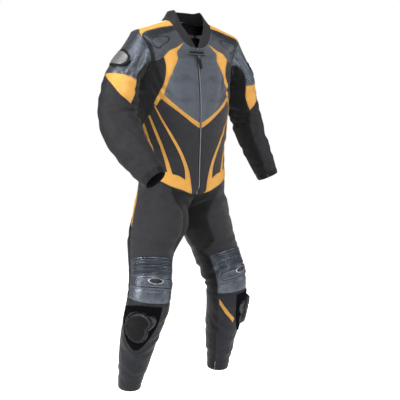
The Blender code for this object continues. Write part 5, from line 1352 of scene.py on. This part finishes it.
def flap_hide():
    """The knee flap's hide, with a plain oval field in a metal rim."""
    hide = leather("grey_hide_flap", (0.115, 0.131, 0.160), GREY_DARK, 0.30, 0.75,
                   (0.34, 0.36, 0.40), 0.2, crumple=0.0014)
    # painted shade round the flap's edge
    painted_edge_shade(hide, 0.0022, (0.012, 0.012, 0.015))
    far = oval(hide, *BADGE_PLACE)
    hide.paint(hide.span(far, 0.84, 0.92, 1.0, 0.0), (0.030, 0.032, 0.038))
    rim = hide.line(far, 1.0, 0.05, 0.13)
    hide.paint(rim, (0.62, 0.63, 0.66))
    hide.raise_by(hide.span(far, 0.95, 1.15, 1.0, 0.0), 0.0012)
    hide.raise_by(rim, 0.0006)
    return hide


def shin_hide():
    """The shin's hide, with the curved line pressed in under the slider."""
    hide = leather("shin_hide", (0.012, 0.014, 0.019), (0.006, 0.007, 0.010), 0.31, 0.0,
                   BLACK_THREAD, 0.0, crumple=0.0036, specular=0.32)
    pressed_line(hide, *SHIN_LINE, (0.006, 0.006, 0.008), SHIN_LINE_TOP)
    return hide


def shoulder_hide():
    """The shoulder's hide, with a pressed pad and a pleated strip beside the armhole, the pleats'
    troughs darkened with painted shade.
    """
    hide = leather("shoulder_hide", (0.086, 0.095, 0.112), (0.052, 0.058, 0.070), 0.36, 0.75,
                   GREY_THREAD, 0.3, crumple=0.0026)
    pressed_line(hide, *SHOULDER_PAD, (0.022, 0.024, 0.028), width=0.11)
    across = hide.parts("cut")[0]
    pleats = hide.wave(across, PLEAT_PITCH)
    strip = hide.span(across, PLEAT_START - 0.002, PLEAT_START + 0.001)
    # painted shade in the troughs of the pleats
    hide.paint(hide.times(strip, hide.span(pleats, -0.9, 0.1, 1.0, 0.0)), (0.008, 0.008, 0.010))
    hide.raise_by(hide.times(strip, hide.span(pleats, -1.0, 1.0)), 0.0034)
    return hide


def strap_hide():
    """The collar strap's bare hide, with a stitched outline."""
    hide = leather("strap_hide", BLACK, BLACK_DARK, 0.42, 0.0, BLACK_THREAD, 0.0, on="object",
                   specular=0.2)
    low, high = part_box("strap_tab")
    parts = hide.parts("object")
    gaps = [hide.times(hide.math("SUBTRACT", parts[axis], value), way)
            for axis in (0, 2) for value, way in ((low[axis], 1.0), (high[axis], -1.0))]
    edge = gaps[0]
    for gap in gaps[1:]:
        edge = hide.math("MINIMUM", edge, gap)
    hide.paint(hide.line(edge, STRAP_STITCH_INSET, 0.0004, 0.0011), (0.22, 0.22, 0.23))
    return hide


def puck_plastic():
    """Moulded plastic: a stitched edge round the crown, a painted highlight along its rim, painted
    shade where it meets the shelf, lighter mottling on the lobe.
    """
    finish = Finish("puck_plastic", (0.007, 0.007, 0.009), 0.34, specular=0.20)
    where = finish.map("cut")
    away, along = finish.parts("bean")[:2]
    dash = finish.times(finish.line(away, PUCK_STITCH_INSET, 0.0006, 0.0016),
                        finish.span(finish.wave(along, PUCK_STITCH_PITCH), -0.4, 0.2))
    finish.paint(dash, (0.055, 0.055, 0.062))
    finish.raise_by(dash, 0.0005)
    finish.paint(finish.span(away, 0.006, 0.009), (0.0030, 0.0030, 0.0040))
    # painted highlight: a lighter band along the crown's rim
    glint = finish.line(away, 0.0020, 0.0004, 0.0018)
    finish.paint(finish.times(glint, finish.span(finish.noise(where, 30.0, 2.0), 0.40, 0.60)),
                 (0.060, 0.062, 0.070))
    # painted shade in the ditch where the crown meets the shelf
    finish.paint(finish.line(away, -0.0012, 0.0008, 0.0024), (0.0015, 0.0015, 0.002))
    # lighter mottling over the lobe, the shelf outside the crown
    shelf = finish.span(away, -0.006, -0.003, 1.0, 0.0)
    finish.paint(finish.times(shelf, finish.span(finish.noise(where, 70.0, 3.0), 0.30, 0.62)),
                 (0.075, 0.076, 0.085))
    finish.raise_by(finish.noise(where, 500.0, 4.0), 0.0003)
    finish.raise_by(finish.noise(where, 40.0, 3.0, 0.5, 1.2), 0.0022)
    finish.rough(finish.noise(where, 70.0, 4.0), 0.28, 0.48)
    return finish


def velour_pile():
    """The hook pad's short pile."""
    finish = Finish("velour", (0.0035, 0.0035, 0.0045), 1.0, specular=0.06)
    where = finish.map("object")
    finish.raise_by(finish.noise(where, 900.0, 2.0), 0.0006)
    finish.paint(finish.span(finish.noise(where, 120.0, 3.0), 0.4, 0.7), (0.006, 0.006, 0.0075))
    return finish


def mesh_lining():
    """The inside of every cloth piece."""
    finish = Finish("lining", (0.020, 0.020, 0.022), 0.9, sheen=0.1, specular=0.2)
    cells = finish.cells(finish.map("object"), 420.0)
    finish.raise_by(cells, -0.0006)
    finish.paint(finish.span(cells, 0.2, 0.6), (0.010, 0.010, 0.012))
    return finish


def pull_rubber():
    """The pull tab's plain moulded grip."""
    finish = Finish("pull_rubber", (0.006, 0.006, 0.007), 0.45, specular=0.25)
    where = finish.map("object")
    finish.paint(finish.span(finish.noise(where, 260.0, 3.0), 0.5, 0.7), DARK_PLASTIC)
    finish.raise_by(finish.noise(where, 800.0, 2.0), 0.0002)
    return finish


def rim_rubber():
    """The soft rim under the shoulder slider."""
    finish = Finish("rim_rubber", (0.008, 0.008, 0.009), 0.50, specular=0.25)
    where = finish.map("object")
    finish.raise_by(finish.noise(where, 700.0, 3.0), 0.0002)
    finish.rough(finish.noise(where, 90.0, 3.0), 0.42, 0.62)
    return finish


def brushed_steel():
    """The shoulder slider's plain plate, brushed level."""
    finish = Finish("brushed_steel", (0.78, 0.77, 0.76), 0.34, 1.0)
    stretched = finish.add("ShaderNodeMapping",
                           {"Vector": finish.map("object"), "Scale": (40.0, 40.0, 1400.0)})
    lines = finish.noise(stretched.outputs[0], 1.0, 4.0, 0.7)
    finish.raise_by(lines, 0.00006)
    finish.rough(lines, 0.22, 0.42)
    return finish


def slider_metal():
    """The zip slider's dull metal."""
    finish = Finish("zip_metal", (0.26, 0.26, 0.27), 0.30, 1.0)
    finish.rough(finish.noise(finish.map("object"), 300.0, 3.0), 0.24, 0.46)
    return finish


def zip_teeth():
    """Metal teeth along the middle of a dark tape."""
    finish = Finish("zip_teeth", (0.62, 0.62, 0.64), 0.30, 0.75)
    where = finish.map("object")
    parts = finish.parts("object")
    beat = finish.wave(parts[2], TOOTH_PITCH)
    finish.paint(finish.span(beat, -0.5, 0.2, 1.0, 0.0), (0.030, 0.030, 0.034))
    finish.raise_by(finish.span(beat, -0.6, 0.6), 0.0005)
    aside = finish.math("ABSOLUTE", parts[0])
    tape = finish.span(aside, TEETH_HALF_WIDTH, TEETH_HALF_WIDTH + 0.0004)
    finish.paint(tape, (0.012, 0.012, 0.013))
    finish.rough(finish.noise(where, 400.0, 2.0), 0.28, 0.50)
    return finish


def make_finishes():
    """Every surface, by the name that the pieces use."""
    made = {
        "grey_leather": leather("grey_hide", GREY, GREY_DARK, 0.30, 0.85, GREY_THREAD, 0.4,
                                crumple=0.0026),
        "grey_smooth": leather("grey_hide_smooth", (0.150, 0.170, 0.205), GREY_DARK, 0.27, 0.85,
                               GREY_THREAD, 0.4, grain=0.00010, crumple=0.0014),
        "grey_pierced": pierced_hide(),
        "grey_folded": folded_hide(),
        "grey_flap": flap_hide(),
        "black_leather": leather("black_hide", BLACK, BLACK_DARK, 0.34, 0.0, BLACK_THREAD, 0.0,
                                 crumple=0.0034, specular=0.24),
        "shin_hide": shin_hide(),
        "matt_leather": leather("matt_hide", (0.020, 0.020, 0.024), (0.013, 0.013, 0.016), 0.60,
                                0.0, (0.05, 0.05, 0.056), 0.0, grain=0.00014, crumple=0.0020,
                                specular=0.30),
        "shoulder_hide": shoulder_hide(),
        "orange_leather": leather("orange_hide", (0.830, 0.415, 0.072), (0.740, 0.345, 0.052),
                                  0.42, 0.0, (0.60, 0.27, 0.04), 0.12, grain=0.00012),
        "strap_leather": strap_hide(),
        "charcoal_cloth": knit("charcoal_weave", (0.038, 0.038, 0.043), (0.023, 0.023, 0.027),
                               0.0011, 0.00018),
        "side_stretch": knit("side_stretch", (0.026, 0.026, 0.029), (0.010, 0.010, 0.012),
                             0.0034, 0.0008),
        "black_stretch": knit("stretch_rib", (0.007, 0.007, 0.008), (0.003, 0.003, 0.004),
                              0.0034, 0.0009),
        "velour": velour_pile(),
        "lining": mesh_lining(),
        "pull_rubber": pull_rubber(),
        "black_rubber": rim_rubber(),
        "slider_plastic": puck_plastic(),
        "brushed_plate": brushed_steel(),
        "zip_metal": slider_metal(),
        "zip_teeth": zip_teeth(),
    }
    return {name: finish.finish() for name, finish in made.items()}


finishes = make_finishes()


def rib_height(sheet):
    """How far the knee accordion's folds stand out."""
    u, v = sheet.uv[:, 0], sheet.uv[:, 1]
    wave = np.abs(np.sin(math.pi * (v - RIB_LOW) / RIB_PITCH)) ** 0.8
    uneven = 0.85 + 0.15 * np.sin(v * 700.0 + 3.0 * u)
    across = ease((u - RIB_ENDS[0]) / 0.04) * ease((RIB_ENDS[1] - u) / 0.04)
    return np.where((v > RIB_LOW) & (v < RIB_HIGH), wave * RIB_HEIGHT * across * uneven, 0.0)


def make_side(side, seams, shared):
    """The panels of one side, and the pieces that lie on them."""
    end = "_left" if side > 0 else "_right"
    for name, chart, surface, words in SIDE_PANELS:
        sheet = panel(side, chart, words.split(), seams, shared, FINE.get(name, STEP), ZIP_EDGES,
                      SQUEEZE.get(name, 1.0))
        lift = rib_height(sheet) if name == "knee_ribs" else 0.0
        finish = finishes[FINISH_OF.get(name, surface)]
        sew(name + "_cloth" + end, sheet, finish, name + end, lift)
    stripe = SHIN_STRIPE if side > 0 else SHORT_SHIN_STRIPE
    laid = (("claw", CLAW, "orange_leather", "orange_leather", LAID_THICK),
            ("shin_stripe", stripe, "orange_leather", "orange_leather", LAID_THICK),
            ("knee_flap", KNEE_FLAP, "grey_leather", "grey_flap", FLAP_THICK))
    for name, outline, surface, finish, thick in laid:
        sheet = patch(side, "body", outline, LAID_STEP)
        lift = SEAM_GAP + LAID_GAP + thick
        if name == "knee_flap":
            lift = lift + rib_height(sheet)
        sew(name + "_cloth" + end, sheet, finishes[finish], name + end, lift, thick,
            FLAT_ROLL)


def make_puck(side):
    """The sliding puck: a bean-shaped crown on a lower shelf with a lobe beside it."""
    end = "_left" if side > 0 else "_right"
    sheet = patch(side, "body", SLIDER_PUCK, PUCK_STEP)
    bean = flat("body", np.array(BEAN))
    away, along = seam_place(sheet.flat, bean)
    away = np.where(inside(bean, sheet.flat), away, -away)
    crown = ease((away + 0.0010) / 0.0050) * (0.86 + 0.14 * ease(away / 0.022))
    from_edge = np.clip(sheet.edge / 0.0050, 0.0, 1.0)
    round_edge = np.sqrt(np.clip(1.0 - (1.0 - from_edge) ** 2, 0.0, 1.0))
    height = PUCK_SHELF + (PUCK_CROWN - PUCK_SHELF) * crown - 0.0045 * (1.0 - round_edge)
    folds = np.exp(-((sheet.uv[:, 0] - 0.418 + 3.4 * (sheet.uv[:, 1] - 0.452)) / 0.010) ** 2)
    height = height - 0.0022 * folds * ease((away - 0.006) / 0.006)
    mould("knee_slider_puck_shaped" + end, sheet, height, np.stack([away, along], -1),
          "slider_plastic", "knee_slider_puck" + end)


def mould(name, sheet, height, bean, surface, node):
    """A closed moulded piece between its foot and a shaped top."""
    used, triangles = sheet.outward_triangles()
    top = (sheet.points + sheet.normals * height[:, None])[used]
    foot = (sheet.points + sheet.normals * PUCK_FOOT)[used]
    count = len(used)
    sides = {}
    for a, b, c in triangles.tolist():
        for edge in ((a, b), (b, c), (c, a)):
            sides[edge] = True
    wall = [(b, a, a + count, b + count) for a, b in sides if (b, a) not in sides]
    faces = triangles.tolist() + (triangles[:, ::-1] + count).tolist() + wall
    maps = {name: np.concatenate([places[used]] * 2)
            for name, places in (("cut", sheet.flat), ("bean", bean))}
    piece = new_piece(name, np.concatenate([top, foot]), faces, maps, (finishes[surface],))
    piece.data.shade_smooth()
    piece.data.set_sharp_from_angle(angle=PUCK_SHARP_EDGE)
    declare(piece, node)


def both_halves(words):
    """The seams of one half, and then the other half's in the opposite order."""
    names = words.split()
    return names + ["~" + name for name in reversed(names)]


def make_centre(seams, shared):
    """The pieces across the middle: the back and the collar."""
    entries = both_halves(
        "neck_back yoke_back arm_back side_back back_waist seat_swoosh seat_seam")
    sheet = panel(1, "body", entries, seams, shared, FINE["back"])
    sew("back_cloth", sheet, finishes["black_leather"], "back")
    entries = both_halves("neck_chest neck_shoulder neck_yoke neck_back")
    entries += ["end_right", "top", "end_left"]
    sheet = panel(1, "collar", entries, seams, shared, FINE["collar"], ("end_left", "end_right"))
    sew("collar_cloth", sheet, finishes["matt_leather"], "collar")


def collar_seams():
    """The free edges of the collar."""
    return {name: Seam(1, {"collar": even_samples("collar", curve_points(ends))})
            for name, ends in COLLAR_EDGES}


KEPT_NODES = {"knee_slider_base_left": "velour", "knee_slider_base_right": "velour",
              "shoulder_rim_left": "black_rubber", "shoulder_rim_right": "black_rubber",
              "shoulder_plate_left": "brushed_plate", "shoulder_plate_right": "brushed_plate",
              "zip": "zip_teeth", "zip_slider": "zip_metal", "zip_pull": "pull_rubber",
              "strap_tab": "strap_leather"}


def make_suit():
    """The cloth pieces, the pucks, and better surfaces on the CAD nodes that stay."""
    seams = {1: make_seams(1), -1: make_seams(-1)}
    seams[1].update(collar_seams())
    shared = shared_normals(seams)
    make_centre(seams, shared)
    for side in (1, -1):
        make_side(side, seams, shared)
    for side in (1, -1):
        make_puck(side)
    for node, finish in KEPT_NODES.items():
        bpy.data.objects[node].material_slots[0].material = finishes[finish]


def make_stage():
    """A pale floor that looks evenly lit to the camera."""
    bpy.ops.mesh.primitive_plane_add(size=FLOOR_SIZE, location=(0.0, 0.0, -HOLD_HEIGHT))
    floor = bpy.context.active_object
    floor.name = "floor"
    bpy.ops.object.transform_apply(location=True, rotation=True, scale=True)
    surface = Finish("pale_floor", (0.93, 0.93, 0.93), 0.9, specular=0.1)
    seen = surface.add("ShaderNodeLightPath").outputs["Is Camera Ray"]
    surface.shader.inputs["Emission Color"].default_value = (*[FLOOR_GLOW] * 3, 1.0)
    surface.tree.links.new(seen, surface.shader.inputs["Emission Strength"])
    floor.data.materials.append(surface.finish())


def make_tent():
    """White paper all round, dimmer where it lights the suit than where it is seen."""
    world = bpy.data.worlds.new("light_tent")
    bpy.context.scene.world = world
    world.use_nodes = True
    tree = world.node_tree
    dim = tree.nodes["Background"]
    dim.inputs["Color"].default_value = (1.0, 1.0, 1.0, 1.0)
    dim.inputs["Strength"].default_value = AMBIENT
    bright = tree.nodes.new("ShaderNodeBackground")
    bright.inputs["Color"].default_value = (1.0, 1.0, 1.0, 1.0)
    seen = tree.nodes.new("ShaderNodeLightPath")
    both = tree.nodes.new("ShaderNodeMixShader")
    tree.links.new(seen.outputs["Is Camera Ray"], both.inputs[0])
    tree.links.new(dim.outputs[0], both.inputs[1])
    tree.links.new(bright.outputs[0], both.inputs[2])
    tree.links.new(both.outputs[0], tree.nodes["World Output"].inputs["Surface"])


def make_lights():
    """Softboxes round the suit."""
    for name, where, aim, size, power in SOFTBOXES:
        lamp = bpy.data.lights.new(name, "AREA")
        lamp.shape = "RECTANGLE"
        lamp.size, lamp.size_y = size
        lamp.energy = power
        box = bpy.data.objects.new(name, lamp)
        box.location = where
        box.rotation_euler = (Vector(aim) - Vector(where)).to_track_quat("-Z", "Y").to_euler()
        bpy.context.scene.collection.objects.link(box)


def make_camera():
    """The photograph's view."""
    lens = bpy.data.cameras.new("camera")
    lens.lens = LENS
    lens.sensor_width = SENSOR
    lens.shift_x = LENS_SHIFT
    camera = bpy.data.objects.new("camera", lens)
    camera.location = CAMERA_PLACE
    camera.rotation_euler = (CAMERA_TILT, 0.0, CAMERA_TURN)
    bpy.context.scene.collection.objects.link(camera)
    bpy.context.scene.camera = camera


make_camera()
make_stage()
make_tent()
make_lights()
make_suit()
bpy.context.scene.view_settings.view_transform = "Standard"
